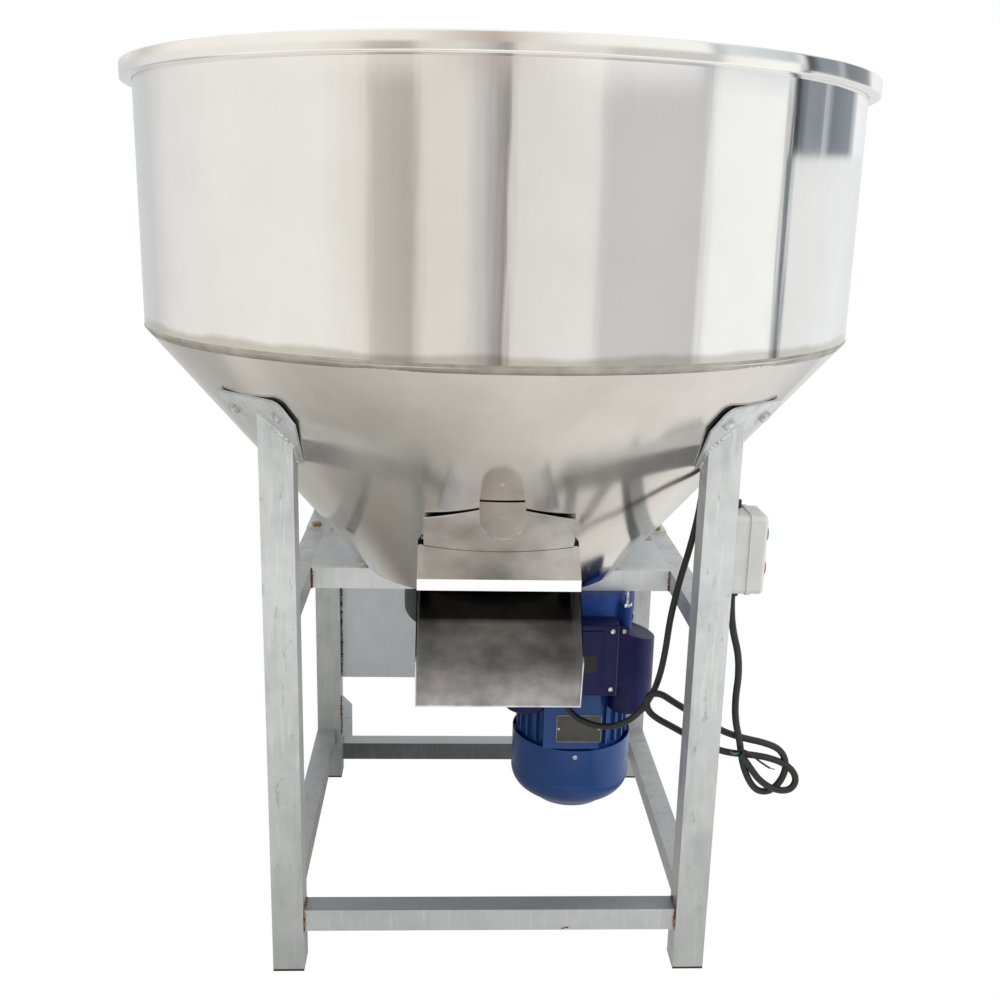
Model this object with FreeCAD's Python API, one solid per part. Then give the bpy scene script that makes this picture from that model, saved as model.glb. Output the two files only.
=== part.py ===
import FreeCAD, Part
import math
import os

Vec = FreeCAD.Vector

# Frame of square tube, in millimetres
frame_width = 565.0
frame_depth = 563.0
leg_size = 40.0
leg_wall = 2.0
rail_size = 30.0
rail_wall = 1.5
foot_cap_thickness = 3.0
foot_plug_height = 12.0
front_rail_bottom = 57.0
side_rail_bottom = 62.0
rear_rail_bottom = 30.0
front_rail_setback = 4.0
deck_height = 480.0
front_cross_rail_y = -40.0
rear_cross_rail_y = 72.0

# Barrel of stainless sheet
barrel_radius = 462.0
barrel_wall_thickness = 1.5
cone_height = 335.5
wall_height = 310.4
cone_bottom_radius = 182.1
deck_plate_thickness = 2.8
rim_width = 14.5
rim_height = 19.3
rim_sheet = 1.2
rim_inner_lip = 8.0
floor_rise = 7.2
floor_thickness = 3.0
floor_clearance = 2.0

# Brackets between the legs and the cone
bracket_thickness = 3.0
bracket_half_width = 60.0
bracket_foot_half_width = 12.0
bracket_top_drop = 57.3
bracket_side_drop = 86.3
bracket_foot_drop = 143.3
bracket_corner = 12.0
bracket_bolt_drop = 76.3
bracket_bolt_spacing = 79.0
bracket_seat_gap = 0.1

# Metric bolts: shank radius, head across flats and head height
bolt_radius = 4.0
bolt_hole_radius = 4.3
bolt_head_flats = 13.0
bolt_head_height = 5.3
nut_height = 6.0
nut_margin = 2.4
bolt_end = 2.0

# Rear shelf and rear guard
shelf_depth = 140.0
shelf_thickness = 2.5
shelf_bolt_inset = 9.0
guard_bottom = 182.0
guard_top = 430.0
guard_thickness = 2.0
guard_setback = 22.0

# Earthing lug
earth_lug_width = 19.0
earth_lug_thickness = 3.0
earth_lug_bottom = 77.0
earth_lug_shoulder = 137.0
earth_lug_top = 157.0

# Discharge chute and its slide gate
chute_width = 197.0
chute_sheet = 1.5
hood_rise = 86.2
hood_length = 40.0
hood_lip = 14.0
hood_root = 30.0
tray_lip_y = -345.0
tray_lip_drop = 20.0
tray_mouth_y = -332.0
tray_mouth_drop = 82.0
tray_back_rise = 9.2
tray_back_y = -170.0
outlet_width = 168.0
outlet_rise = 14.2
outlet_height = 66.0
gate_width = 183.0
gate_thickness = 1.5
gate_curvature = 520.0
gate_standoff = 1.2
gate_bottom_rise = 16.2
gate_side_rise = 130.2
gate_neck_rise = 151.2
gate_fold_rise = 163.8
gate_tab_width = 53.0
gate_tab_length = 50.0
gate_tab_hole = 3.0
gate_clearance = 0.5
guide_sheet = 1.5
guide_depth = 10.0

# Gear train: teeth, modules and tooth form
fast_module = 2.5
motor_teeth = 12
lay_teeth = 44
slow_module = 3.0
pinion_teeth = 14
output_teeth = 72
pressure_angle = 25.0
addendum_factor = 0.8
dedendum_factor = 1.02
backlash = 0.30
fast_face = 10.0
slow_face = 14.0
fast_gear_rise = 9.0
slow_gear_rise = 23.0

# Gear case
case_height = 53.0
case_wall = 6.0
case_cover_thickness = 12.0
output_lobe = 124.0
motor_lobe = 85.0
lay_lobe = 67.0
case_edge_round = 13.0
motor_offset = 127.0
lug_reach = 8.5
lug_radius = 8.0
lug_height = 35.0
lug_angles = [-47.0, 47.0]
bearing_boss = 5.0
shaft_clearance = 1.0
shaft_end_rise = 1.5
end_gap = 0.4
lay_seat_depth = 3.5
drive_bolt_x = 70.0
drive_thread = 9.0

# Shafts and bearings
output_shaft_radius = 17.0
output_bearing_radius = 31.0
lay_shaft_radius = 10.0
lay_bearing_radius = 17.0
running_clearance = 0.05
output_bearing_width = 10.0
lower_bearing_width = 8.0
fan_hub_thickness = 8.0
web_recess = 4.0
gear_rim = 14.0
boss_thickness = 12.0
lay_bearing_width = 6.0
seal_radius = 34.0
seal_height = 8.0

# Motor
motor_radius = 78.0
motor_wall = 6.0
motor_length = 183.0
motor_end_thickness = 16.0
flange_thickness = 14.0
rib_height = 5.0
rib_width = 3.5
rib_count = 28
stator_rise = 48.0
stator_length = 104.0
winding_reach = 16.0
winding_inset = 12.0
rotor_radius = 40.0
air_gap = 0.5
motor_shaft_radius = 12.0
fan_shaft_radius = 9.0
motor_bearing_radius = 22.0
motor_bearing_width = 10.0
cowl_radius = 88.0
cowl_wall = 1.5
cowl_overlap = 17.0
cowl_height = 57.0
cowl_shoulder_height = 36.0
cowl_grille_drop = 12.0
cowl_step = 2.0
grille_radius = 66.0
grille_slots = 18
grille_slot_width = 4.0
fan_radius = 68.0
fan_blades = 8
fan_blade_thickness = 3.0
fan_drop = 36.0
fan_width = 24.0
pad_width = 18.0
name_pad_width = 80.0
name_pad_shift = -9.0
name_pad_proud = 8.0

# Terminal box and capacitor covers
box_half_width = 46.0
box_drop = 61.0
box_height = 104.0
box_back = 95.0
box_depth = 27.0
box_wall = 2.5
lid_depth = 9.0
box_round = 8.0
capacitor_round = 9.0
capacitor_radius = 32.0
capacitor_drop = 107.0
capacitor_height = 129.0
capacitor_top_fall = 18.0
capacitor_offset_x = 74.0
capacitor_offset_y = 65.0
cover_gap = 0.3
lead_entry_offset = 22.0

# Mixing rotor
hub_radius = 30.0
hub_rise = 13.0
hub_height = 62.0
hub_cap_height = 18.0
arm_thickness = 8.0
arm_width = 38.0
arm_top_drop = 43.3
arm_wall_gap = 15.0
arm_root_height = 34.0
paddle_length = 120.0
paddle_height = 46.0
paddle_thickness = 4.0
paddle_pitch = 35.0
paddle_inset = 12.0
arm_azimuth = 30.0

# Switch box on the front right leg
switch_width = 58.0
switch_rise = 40.0
switch_height = 100.0
switch_base_depth = 20.0
switch_cover_depth = 22.0
switch_wall = 2.2
switch_round = 7.0
switch_y = -243.0
button_radius = 11.0
button_proud = 6.0
button_collar = 2.0
button_collar_width = 3.0
button_spacing = 44.0
button_clearance = 0.3
grommet_radius = 8.0
grommet_length = 9.0
grommet_shoulder = 2.4
lead_exit_shift = 16.0
cover_lip = 1.5
cover_lip_depth = 5.0
button_round = 1.5

# Cords
lead_diameter = 8.6
cord_diameter = 9.0
corner_share = 0.45
hank_thickness = 18.0
hank_slope = 0.18
hank_left_y = -210.0

# Values that follow from the sizes above
half_x = frame_width / 2
half_y = frame_depth / 2
cone_bottom = deck_height + deck_plate_thickness
cone_slope = (barrel_radius - cone_bottom_radius) / cone_height
barrel_seam_height = cone_bottom + cone_height
barrel_top = barrel_seam_height + wall_height
floor_height = cone_bottom + floor_rise
bracket_top_height = barrel_seam_height - bracket_top_drop
bracket_side_height = barrel_seam_height - bracket_side_drop
bracket_foot_height = barrel_seam_height - bracket_foot_drop
bracket_bolt_height = barrel_seam_height - bracket_bolt_drop
hood_height = cone_bottom + hood_rise
tray_mouth = [(tray_lip_y, deck_height - tray_lip_drop), (tray_mouth_y, deck_height - tray_mouth_drop)]
tray_back_height = cone_bottom + tray_back_rise
outlet_bottom = cone_bottom + outlet_rise
outlet_top = outlet_bottom + outlet_height
gate_bottom_height = cone_bottom + gate_bottom_rise
gate_side_height = cone_bottom + gate_side_rise
gate_neck_height = cone_bottom + gate_neck_rise
gate_fold_height = cone_bottom + gate_fold_rise
case_top = deck_height - rail_size
case_bottom = case_top - case_height
case_cover_bottom = case_top - case_cover_thickness
fast_gear_height = case_bottom + fast_gear_rise
slow_gear_height = case_bottom + slow_gear_rise
cone_angle = math.atan(cone_slope)
motor_axis = (motor_offset, 0.0)
motor_top = case_bottom - flange_thickness
motor_bottom = motor_top - motor_length
stator_bottom = motor_bottom + stator_rise
cowl_top = motor_bottom + cowl_overlap
cowl_shoulder_top = cowl_top - cowl_height
cowl_shoulder_bottom = cowl_shoulder_top - cowl_shoulder_height
fan_bottom = motor_bottom - fan_drop
box_bottom = motor_top - box_drop
box_top = box_bottom + box_height
capacitor_bottom = motor_top - capacitor_drop
capacitor_top = capacitor_bottom + capacitor_height
hub_bottom = floor_height + hub_rise
arm_top_height = barrel_seam_height - arm_top_drop
switch_bottom = deck_height + switch_rise
fast_centres = fast_module * (motor_teeth + lay_teeth) / 2
slow_centres = slow_module * (pinion_teeth + output_teeth) / 2
lay_x = (slow_centres ** 2 - fast_centres ** 2 + motor_offset ** 2) / (2 * motor_offset)
lay_y = math.sqrt(slow_centres ** 2 - lay_x ** 2)
lay_axis = (lay_x, lay_y)
switch_face = half_x + switch_base_depth + switch_cover_depth
motor_shaft_top = fast_gear_height + fast_face + 1.5

os.makedirs("parts", exist_ok=True)


def save(name, *solids):
    """Write one node, as one solid or a group of separate solids."""
    shape = solids[0] if len(solids) == 1 else Part.makeCompound(list(solids))
    shape.exportStep("parts/" + name + ".step")


def box(x0, x1, y0, y1, z0, z1):
    low = Vec(min(x0, x1), min(y0, y1), min(z0, z1))
    return Part.makeBox(abs(x1 - x0), abs(y1 - y0), abs(z1 - z0), low)


def rod(radius, z0, z1, centre=(0.0, 0.0)):
    return Part.makeCylinder(radius, z1 - z0, Vec(centre[0], centre[1], z0))


def ring(outer, inner, z0, z1, centre=(0.0, 0.0)):
    return rod(outer, z0, z1, centre).cut(rod(inner, z0, z1, centre))


def rod_between(start, end, radius):
    way = end - start
    return Part.makeCylinder(radius, way.Length, start, way)


def face_of(points):
    return Part.Face(Part.makePolygon([Vec(*p) for p in points] + [Vec(*points[0])]))


def prism(points, way):
    return face_of(points).extrude(way)


def revolve(profile):
    """Turn a closed outline of (radius, height) pairs about the barrel's axis."""
    outline = face_of([(r, 0.0, z) for r, z in profile])
    return outline.revolve(Vec(0, 0, 0), Vec(0, 0, 1), 360)


def largest(shape):
    return max(shape.Solids, key=lambda solid: solid.Volume)


def cone_radius(height):
    """Outer radius of the cone at a height."""
    return cone_bottom_radius + (height - cone_bottom) * cone_slope


def tube(x0, x1, y0, y1, z0, z1, wall, along):
    """A straight length of square tube, open at the two ends that it runs to."""
    inset = [wall, wall, wall]
    inset[along] = 0.0
    inner = box(x0 + inset[0], x1 - inset[0], y0 + inset[1], y1 - inset[1], z0 + inset[2], z1 - inset[2])
    return box(x0, x1, y0, y1, z0, z1).cut(inner)


def hexagon(flats, height, place, way):
    """A hexagon head or nut that stands on a place and points along a way."""
    radius = flats / math.sqrt(3)
    corners = [math.radians(60 * i) for i in range(6)]
    head = prism([(radius * math.cos(a), radius * math.sin(a), 0.0) for a in corners], Vec(0, 0, height))
    head.Placement = FreeCAD.Placement(place, FreeCAD.Rotation(Vec(0, 0, 1), way))
    return head


def bolt(seat, way, length):
    """A bolt whose head seats at a place and whose shank runs against the way."""
    shank = rod_between(seat - way * length, seat, bolt_radius)
    return shank.fuse(hexagon(bolt_head_flats, bolt_head_height, seat, way))


# The cone's slope at one side of the barrel
class Slope:
    """Directions on the cone's outer face at an azimuth, in degrees."""

    def __init__(self, azimuth):
        turn = math.radians(azimuth)
        self.radial = Vec(math.cos(turn), math.sin(turn), 0)
        self.along = Vec(-math.sin(turn), math.cos(turn), 0)
        self.up = self.radial * math.sin(cone_angle) + Vec(0, 0, math.cos(cone_angle))
        self.out = self.radial * math.cos(cone_angle) - Vec(0, 0, math.sin(cone_angle))

    def point(self, height, side=0.0, proud=0.0):
        base = self.radial * cone_radius(height) + Vec(0, 0, height)
        return base + self.along * side + self.out * proud


sheet_inset = barrel_wall_thickness / math.cos(cone_angle)
cone_outside = revolve([
    (0, cone_bottom), (cone_bottom_radius, cone_bottom),
    (barrel_radius, barrel_seam_height), (0, barrel_seam_height)])
corners = [(1, 1), (-1, 1), (-1, -1), (1, -1)]
corner_names = {(1, 1): "rear_right", (-1, 1): "rear_left", (-1, -1): "front_left", (1, -1): "front_right"}


# Legs with slanted tops, and the brackets that bolt them to the cone
def leg(side_x, side_y):
    outer_x = side_x * half_x
    outer_y = side_y * half_y
    inner_x = side_x * (half_x - leg_size)
    inner_y = side_y * (half_y - leg_size)
    x0 = min(outer_x, inner_x)
    y0 = min(outer_y, inner_y)
    post = tube(x0, x0 + leg_size, y0, y0 + leg_size, foot_cap_thickness, barrel_seam_height, leg_wall, 2)
    slope = Slope(math.degrees(math.atan2(side_y, side_x)))
    return largest(post.cut(above_slope(slope, bracket_seat_gap + bracket_thickness)))


reach = frame_width


def above_slope(slope, proud):
    """A block that fills everything on the barrel's side of a plane along the slope."""
    base = slope.point(bracket_foot_height, 0.0, proud)
    signs = [(-1, -1), (1, -1), (1, 1), (-1, 1)]
    outline = [base + slope.along * a * reach + slope.up * b * reach for a, b in signs]
    return prism([tuple(p) for p in outline], slope.out * -reach)


def bracket(slope):
    inner = bracket_seat_gap
    outline = [
        slope.point(bracket_foot_height, -bracket_foot_half_width, inner),
        slope.point(bracket_foot_height, bracket_foot_half_width, inner),
        slope.point(bracket_side_height, bracket_half_width, inner),
        slope.point(bracket_top_height, bracket_half_width, inner),
        slope.point(bracket_top_height, -bracket_half_width, inner),
        slope.point(bracket_side_height, -bracket_half_width, inner),
    ]
    plate = prism([tuple(p) for p in outline], slope.out * bracket_thickness)
    rounded = [e for e in plate.Edges if is_top_corner(e, slope)]
    plate = plate.makeFillet(bracket_corner, rounded)
    for place in bracket_bolt_places(slope):
        plate = plate.cut(rod_between(place - slope.out * 2 * bracket_thickness, place, bolt_hole_radius))
    return plate


def is_top_corner(edge, slope):
    if abs(edge.Length - bracket_thickness) > 0.01:
        return False
    middle = slope.point(bracket_top_height, 0, bracket_seat_gap + bracket_thickness / 2)
    return abs(edge.CenterOfMass.z - middle.z) < 0.5


def bracket_bolt_places(slope):
    sides = [-bracket_bolt_spacing / 2, bracket_bolt_spacing / 2]
    return [slope.point(bracket_bolt_height, side, bracket_seat_gap + bracket_thickness) for side in sides]


slopes = {corner: Slope(math.degrees(math.atan2(corner[1], corner[0]))) for corner in corners}
for corner in corners:
    save("leg_" + corner_names[corner], leg(*corner))
    save("bracket_" + corner_names[corner], bracket(slopes[corner]))

# Bolts of the brackets, with their nuts inside the cone
nut_seat = barrel_wall_thickness + bracket_thickness + bracket_seat_gap + nut_margin
bracket_bolts = []
wall_holes = []
for corner in corners:
    out = slopes[corner].out
    for place in bracket_bolt_places(slopes[corner]):
        nut = hexagon(bolt_head_flats, nut_height, place - out * (nut_seat + nut_height), out)
        bracket_bolts.append(bolt(place, out, nut_seat + nut_height + bolt_end).fuse(nut))
        wall_holes.append(rod_between(place - out * 2 * nut_seat, place, bolt_hole_radius))
save("bracket_bolts", *bracket_bolts)


# Foot caps: a flat cap under each leg and a plug inside it
def foot_cap(side_x, side_y):
    centre_x = side_x * (half_x - leg_size / 2)
    centre_y = side_y * (half_y - leg_size / 2)
    half = leg_size / 2
    plug = half - leg_wall
    sole = box(centre_x - half, centre_x + half, centre_y - half, centre_y + half, 0, foot_cap_thickness)
    stem = box(centre_x - plug, centre_x + plug, centre_y - plug, centre_y + plug,
               foot_cap_thickness, foot_cap_thickness + foot_plug_height)
    return sole.fuse(stem).removeSplitter()


save("foot_caps", *[foot_cap(*corner) for corner in corners])

# Rails
between_x = half_x - leg_size
between_y = half_y - leg_size
front_rail_y = -half_y + front_rail_setback
save("lower_rail_front", tube(-between_x, between_x, front_rail_y, front_rail_y + rail_size,
                              front_rail_bottom, front_rail_bottom + rail_size, rail_wall, 0))
save("lower_rail_rear", tube(-between_x, between_x, half_y - rail_size, half_y,
                             rear_rail_bottom, rear_rail_bottom + rail_size, rail_wall, 0))
for name, side in [("left", -1), ("right", 1)]:
    x0 = min(side * half_x, side * (half_x - rail_size))
    save("lower_rail_" + name, tube(x0, x0 + rail_size, -between_y, between_y,
                                    side_rail_bottom, side_rail_bottom + rail_size, rail_wall, 1))
    save("upper_rail_" + name, tube(x0, x0 + rail_size, -between_y, between_y,
                                    deck_height - rail_size, deck_height, rail_wall, 1))

cross_reach = half_x - rail_size
cross_rail_places = {"front": front_cross_rail_y, "rear": rear_cross_rail_y}
drive_bolt_places = [(x, y) for y in cross_rail_places.values() for x in (-drive_bolt_x, drive_bolt_x)]
for name, y in cross_rail_places.items():
    rail = tube(-cross_reach, cross_reach, y - rail_size / 2, y + rail_size / 2,
                deck_height - rail_size, deck_height, rail_wall, 0)
    for place in drive_bolt_places:
        rail = rail.cut(rod(bolt_radius, deck_height - rail_size, deck_height, place))
    save("cross_rail_" + name, rail)

# Deck plate on the cross rails, which carries the barrel
deck_back = rear_cross_rail_y + rail_size / 2
deck = box(-cross_reach, cross_reach, front_cross_rail_y, deck_back, deck_height, cone_bottom)
deck = deck.cut(rod(output_shaft_radius + case_wall, deck_height, cone_bottom))
for place in drive_bolt_places:
    deck = deck.cut(rod(bolt_radius, deck_height, cone_bottom, place))
save("mounting_plate", deck)

# Rear shelf on the upper rails, its bolts, and the guard sheet between the rear legs
shelf_front = half_y - shelf_depth
shelf_bolt_x = half_x - rail_size / 2
shelf_bolt_places = [(side * shelf_bolt_x, shelf_front + shelf_bolt_inset) for side in (-1, 1)]
shelf_top = deck_height + shelf_thickness
shelf = box(-half_x, half_x, shelf_front, between_y, deck_height, shelf_top)
shelf = shelf.fuse(box(-between_x, between_x, shelf_front, half_y, deck_height, shelf_top))
shelf = shelf.removeSplitter()
for place in shelf_bolt_places:
    shelf = shelf.cut(rod(bolt_radius, deck_height, shelf_top, place))
shelf = largest(shelf.cut(cone_outside))
save("rear_shelf", shelf)
upright = Vec(0, 0, 1)
shelf_bolts = [bolt(Vec(x, y, shelf_top), upright, shelf_thickness) for x, y in shelf_bolt_places]
save("shelf_bolts", *shelf_bolts)
guard_y = half_y - guard_setback
save("rear_guard", box(-between_x, between_x, guard_y - guard_thickness, guard_y, guard_bottom, guard_top))

# Earthing lug on the rear left leg's inner face: a small gusset with a bolt
lug_y = half_y - leg_size + earth_lug_thickness / 2
earth_outline = [
    (0, earth_lug_bottom), (earth_lug_width, earth_lug_bottom),
    (earth_lug_width, earth_lug_shoulder), (0, earth_lug_top)]
earth_points = [(-between_x + x, lug_y, z) for x, z in earth_outline]
earth_plate = prism(earth_points, Vec(0, earth_lug_thickness, 0))
earth_bolt_x = -between_x + earth_lug_width - bolt_head_flats / 2
earth_bolt_z = (earth_lug_bottom + earth_lug_shoulder) / 2
earth_seat = Vec(earth_bolt_x, lug_y, earth_bolt_z)
earth_hole = rod_between(earth_seat, earth_seat + Vec(0, earth_lug_thickness, 0), bolt_radius)
earth_bolt = bolt(earth_seat, Vec(0, -1, 0), earth_lug_thickness)
save("earth_lug", earth_plate.cut(earth_hole), earth_bolt)

# Barrel: wall, rim, cone and floor
rim_outer = barrel_radius + rim_width
rim_bottom = barrel_top - rim_height
wall_inner = barrel_radius - barrel_wall_thickness
save("barrel_wall", ring(barrel_radius, wall_inner, barrel_seam_height, barrel_top - rim_sheet))
save("barrel_rim", revolve([
    (wall_inner - rim_sheet, barrel_top), (rim_outer, barrel_top), (rim_outer, rim_bottom),
    (barrel_radius, rim_bottom), (barrel_radius, rim_bottom + rim_sheet),
    (rim_outer - rim_sheet, rim_bottom + rim_sheet),
    (rim_outer - rim_sheet, barrel_top - rim_sheet), (wall_inner, barrel_top - rim_sheet),
    (wall_inner, barrel_top - rim_inner_lip), (wall_inner - rim_sheet, barrel_top - rim_inner_lip)]))

cone_shell = revolve([
    (cone_bottom_radius, cone_bottom), (barrel_radius, barrel_seam_height),
    (barrel_radius - sheet_inset, barrel_seam_height), (cone_bottom_radius - sheet_inset, cone_bottom)])
outlet = box(-outlet_width / 2, outlet_width / 2, -barrel_radius, 0, outlet_bottom, outlet_top)
cone_shell = largest(cone_shell.cut(outlet).cut(Part.makeCompound(wall_holes)))
save("barrel_cone", cone_shell)
floor_rim_low = cone_radius(floor_height) - sheet_inset
floor_top = floor_height + floor_thickness
floor_rim_high = cone_radius(floor_top) - sheet_inset
floor_hole = output_shaft_radius + floor_clearance
barrel_floor = revolve([
    (floor_hole, floor_height), (floor_rim_low, floor_height),
    (floor_rim_high, floor_top), (floor_hole, floor_top)])
save("barrel_floor", barrel_floor)

# Slide gate: a bowed sheet that runs up the cone, with a folded finger tab
front = Slope(-90)


def bowed_slab(width, inner, outer, low, high):
    """A slab along the front slope whose section is bowed, between two offsets from the cone."""
    half = width / 2

    def arc_point(side, proud):
        drop = gate_curvature - math.sqrt(gate_curvature ** 2 - side ** 2)
        return front.point(low, side, proud - drop)

    inside = Part.Arc(arc_point(-half, inner), arc_point(0, inner), arc_point(half, inner)).toShape()
    outside = Part.Arc(arc_point(half, outer), arc_point(0, outer), arc_point(-half, outer)).toShape()
    side_a = Part.LineSegment(arc_point(half, inner), arc_point(half, outer)).toShape()
    side_b = Part.LineSegment(arc_point(-half, outer), arc_point(-half, inner)).toShape()
    section = Part.Face(Part.Wire([inside, side_a, outside, side_b]))
    return section.extrude(front.up * ((high - low) / math.cos(cone_angle)))


gate_inner = gate_standoff
gate_outer = gate_standoff + gate_thickness
sheet = bowed_slab(gate_width, gate_inner, gate_outer, gate_bottom_height, gate_fold_height)
half_gate = gate_width / 2
half_tab = gate_tab_width / 2
above_gate = gate_fold_height + gate_tab_length
before_gate = gate_tab_length
for side in (-1, 1):
    gable = [
        front.point(gate_side_height, side * gate_width, before_gate),
        front.point(gate_side_height, side * half_gate, before_gate),
        front.point(gate_neck_height, side * half_tab, before_gate),
        front.point(above_gate, side * half_tab, before_gate),
        front.point(above_gate, side * gate_width, before_gate)]
    sheet = sheet.cut(prism([tuple(p) for p in gable], front.out * -2 * before_gate))
tab_start = front.point(gate_fold_height, 0, gate_inner) - front.up * gate_thickness
tab_reach = gate_tab_length - half_tab
tab_a = tab_start - front.along * half_tab
tab_b = tab_start + front.along * half_tab
tab_round_a = tab_a + front.out * tab_reach
tab_round_b = tab_b + front.out * tab_reach
tab_tip = tab_start + front.out * gate_tab_length
tab_edges = [
    Part.LineSegment(tab_a, tab_b).toShape(), Part.LineSegment(tab_b, tab_round_b).toShape(),
    Part.Arc(tab_round_b, tab_tip, tab_round_a).toShape(), Part.LineSegment(tab_round_a, tab_a).toShape()]
tab = Part.Face(Part.Wire(tab_edges)).extrude(front.up * gate_thickness)
tab_hole = tab_start + front.out * tab_reach
tab = tab.cut(rod_between(tab_hole, tab_hole + front.up * gate_thickness, gate_tab_hole))
gate = largest(sheet.fuse(tab).removeSplitter())
save("gate_plate", gate)

# Chute: folded tray, hood above it and the guides that hold the gate's edges
half_chute = chute_width / 2
chute_inner = half_chute - chute_sheet
gate_space = bowed_slab(chute_width * 1.2, -gate_tab_length, gate_outer + gate_clearance,
                        gate_bottom_height - gate_tab_length, above_gate)
hood_inner = front.point(hood_height)
hood_start = hood_inner - front.out * hood_root
hood_edge = hood_inner + front.out * (hood_length + gate_outer)
lip_end = hood_edge - Vec(0, 0, hood_lip)


def chute_point(x, place):
    return (x, place.y, place.z)


hood_profile = [
    hood_start, hood_edge, lip_end, lip_end + Vec(0, chute_sheet, 0),
    hood_edge + Vec(0, chute_sheet, -chute_sheet / 2), hood_start - front.up * chute_sheet]
hood = prism([chute_point(-half_chute, p) for p in hood_profile], Vec(chute_width, 0, 0))
hood = largest(hood.cut(gate_space).cut(cone_outside))

tray_side = [
    Vec(0, tray_back_y, tray_back_height), Vec(0, tray_back_y, hood_start.z),
    hood_start - front.up * chute_sheet,
    hood_edge - front.up * chute_sheet + Vec(0, chute_sheet, 0), lip_end + Vec(0, chute_sheet, 0),
    lip_end] + [Vec(0, y, z) for y, z in tray_mouth]
tray_sheet = chute_sheet * 1.2


def tray_outline(inset, x):
    """The tray's side view, with its bottom edge raised by the sheet when it is the inner outline."""
    points = [Vec(p) for p in tray_side]
    points[-1] = points[-1] + Vec(0, 0, inset)
    points[0] = points[0] + Vec(0, 0, inset)
    return [chute_point(x, p) for p in points]


tray = prism(tray_outline(0.0, -half_chute), Vec(chute_width, 0, 0))
tray_hollow = prism(tray_outline(tray_sheet, -chute_inner), Vec(2 * chute_inner, 0, 0))
mouth_low = tray_mouth[-1]
front_gap = box(-chute_inner, chute_inner, -barrel_radius, lip_end.y + 2 * chute_sheet,
                mouth_low[1], hood_edge.z)
floor_strip = [(mouth_low[0], mouth_low[1]), (tray_back_y, tray_back_height),
               (tray_back_y, tray_back_height + tray_sheet), (mouth_low[0], mouth_low[1] + tray_sheet)]
bottom_sheet = prism([(-half_chute, y, z) for y, z in floor_strip], Vec(chute_width, 0, 0))
tray = tray.cut(tray_hollow).cut(front_gap.cut(bottom_sheet))
tray = tray.cut(cone_outside)
tray = largest(tray.cut(hood))
save("chute_hood", hood)
save("chute_tray", tray)

guide_low = gate_bottom_height + gate_thickness
guide_high = hood_height - 2 * guide_sheet
groove_inner = gate_inner - gate_clearance
groove_outer = gate_outer + gate_clearance
beyond = guide_low - guide_depth
above = guide_high + guide_depth
channel = bowed_slab(2 * chute_inner, groove_inner - guide_sheet, groove_outer + guide_sheet,
                     guide_low, guide_high)
groove = bowed_slab(gate_width + 2 * gate_clearance, groove_inner, groove_outer, beyond, above)
middle = bowed_slab(2 * (chute_inner - guide_depth), -gate_tab_length, gate_tab_length, beyond, above)
channel = channel.cut(groove).cut(middle)
save("gate_guides", *[solid for solid in channel.Solids])


# Gear teeth: involute flanks drawn as arcs through three points
def involute_angle(base, radius):
    if radius <= base:
        return 0.0
    slope_angle = math.acos(base / radius)
    return math.tan(slope_angle) - slope_angle


def gear_blank(module, teeth, face, height, centre, phase):
    """A spur gear whose first tooth is centred on the phase angle, in radians."""
    pitch = module * teeth / 2
    base = pitch * math.cos(math.radians(pressure_angle))
    tip = pitch + addendum_factor * module
    root = pitch - dedendum_factor * module
    half_tooth = (math.pi * module / 2 - backlash / 2) / (2 * pitch)
    reference = half_tooth + involute_angle(base, pitch)
    start = max(base, root)
    middle_radius = (start + tip) / 2

    def at(radius, angle):
        return Vec(centre[0] + radius * math.cos(angle), centre[1] + radius * math.sin(angle), height)

    edges = []
    for tooth in range(teeth):
        axis = phase + 2 * math.pi * tooth / teeth
        spread = [reference - involute_angle(base, r) for r in (start, middle_radius, tip)]
        left = [at(r, axis - s) for r, s in zip((start, middle_radius, tip), spread)]
        right = [at(r, axis + s) for r, s in zip((start, middle_radius, tip), spread)]
        foot_left = at(root, axis - spread[0])
        foot_right = at(root, axis + spread[0])
        next_axis = axis + 2 * math.pi / teeth
        if root < start - 0.001:
            edges.append(Part.LineSegment(foot_left, left[0]).toShape())
        edges.append(Part.Arc(*left).toShape())
        edges.append(Part.LineSegment(left[2], right[2]).toShape())
        edges.append(Part.Arc(right[2], right[1], right[0]).toShape())
        if root < start - 0.001:
            edges.append(Part.LineSegment(right[0], foot_right).toShape())
        edges.append(Part.LineSegment(foot_right, at(root, next_axis - spread[0])).toShape())
    return Part.Face(Part.Wire(edges)).extrude(Vec(0, 0, face))


def mesh_phase(from_centre, to_centre, teeth_a, phase_a, teeth_b):
    """The phase at which gear B meshes with gear A."""
    line = math.atan2(to_centre[1] - from_centre[1], to_centre[0] - from_centre[0])
    tooth_part = (line - phase_a) * teeth_a / (2 * math.pi)
    return line + math.pi - (0.5 - tooth_part) * 2 * math.pi / teeth_b


output_phase = 0.0
pinion_phase = mesh_phase((0, 0), lay_axis, output_teeth, output_phase, pinion_teeth)
lay_phase = 0.0
motor_phase = mesh_phase(lay_axis, motor_axis, lay_teeth, lay_phase, motor_teeth)

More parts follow.
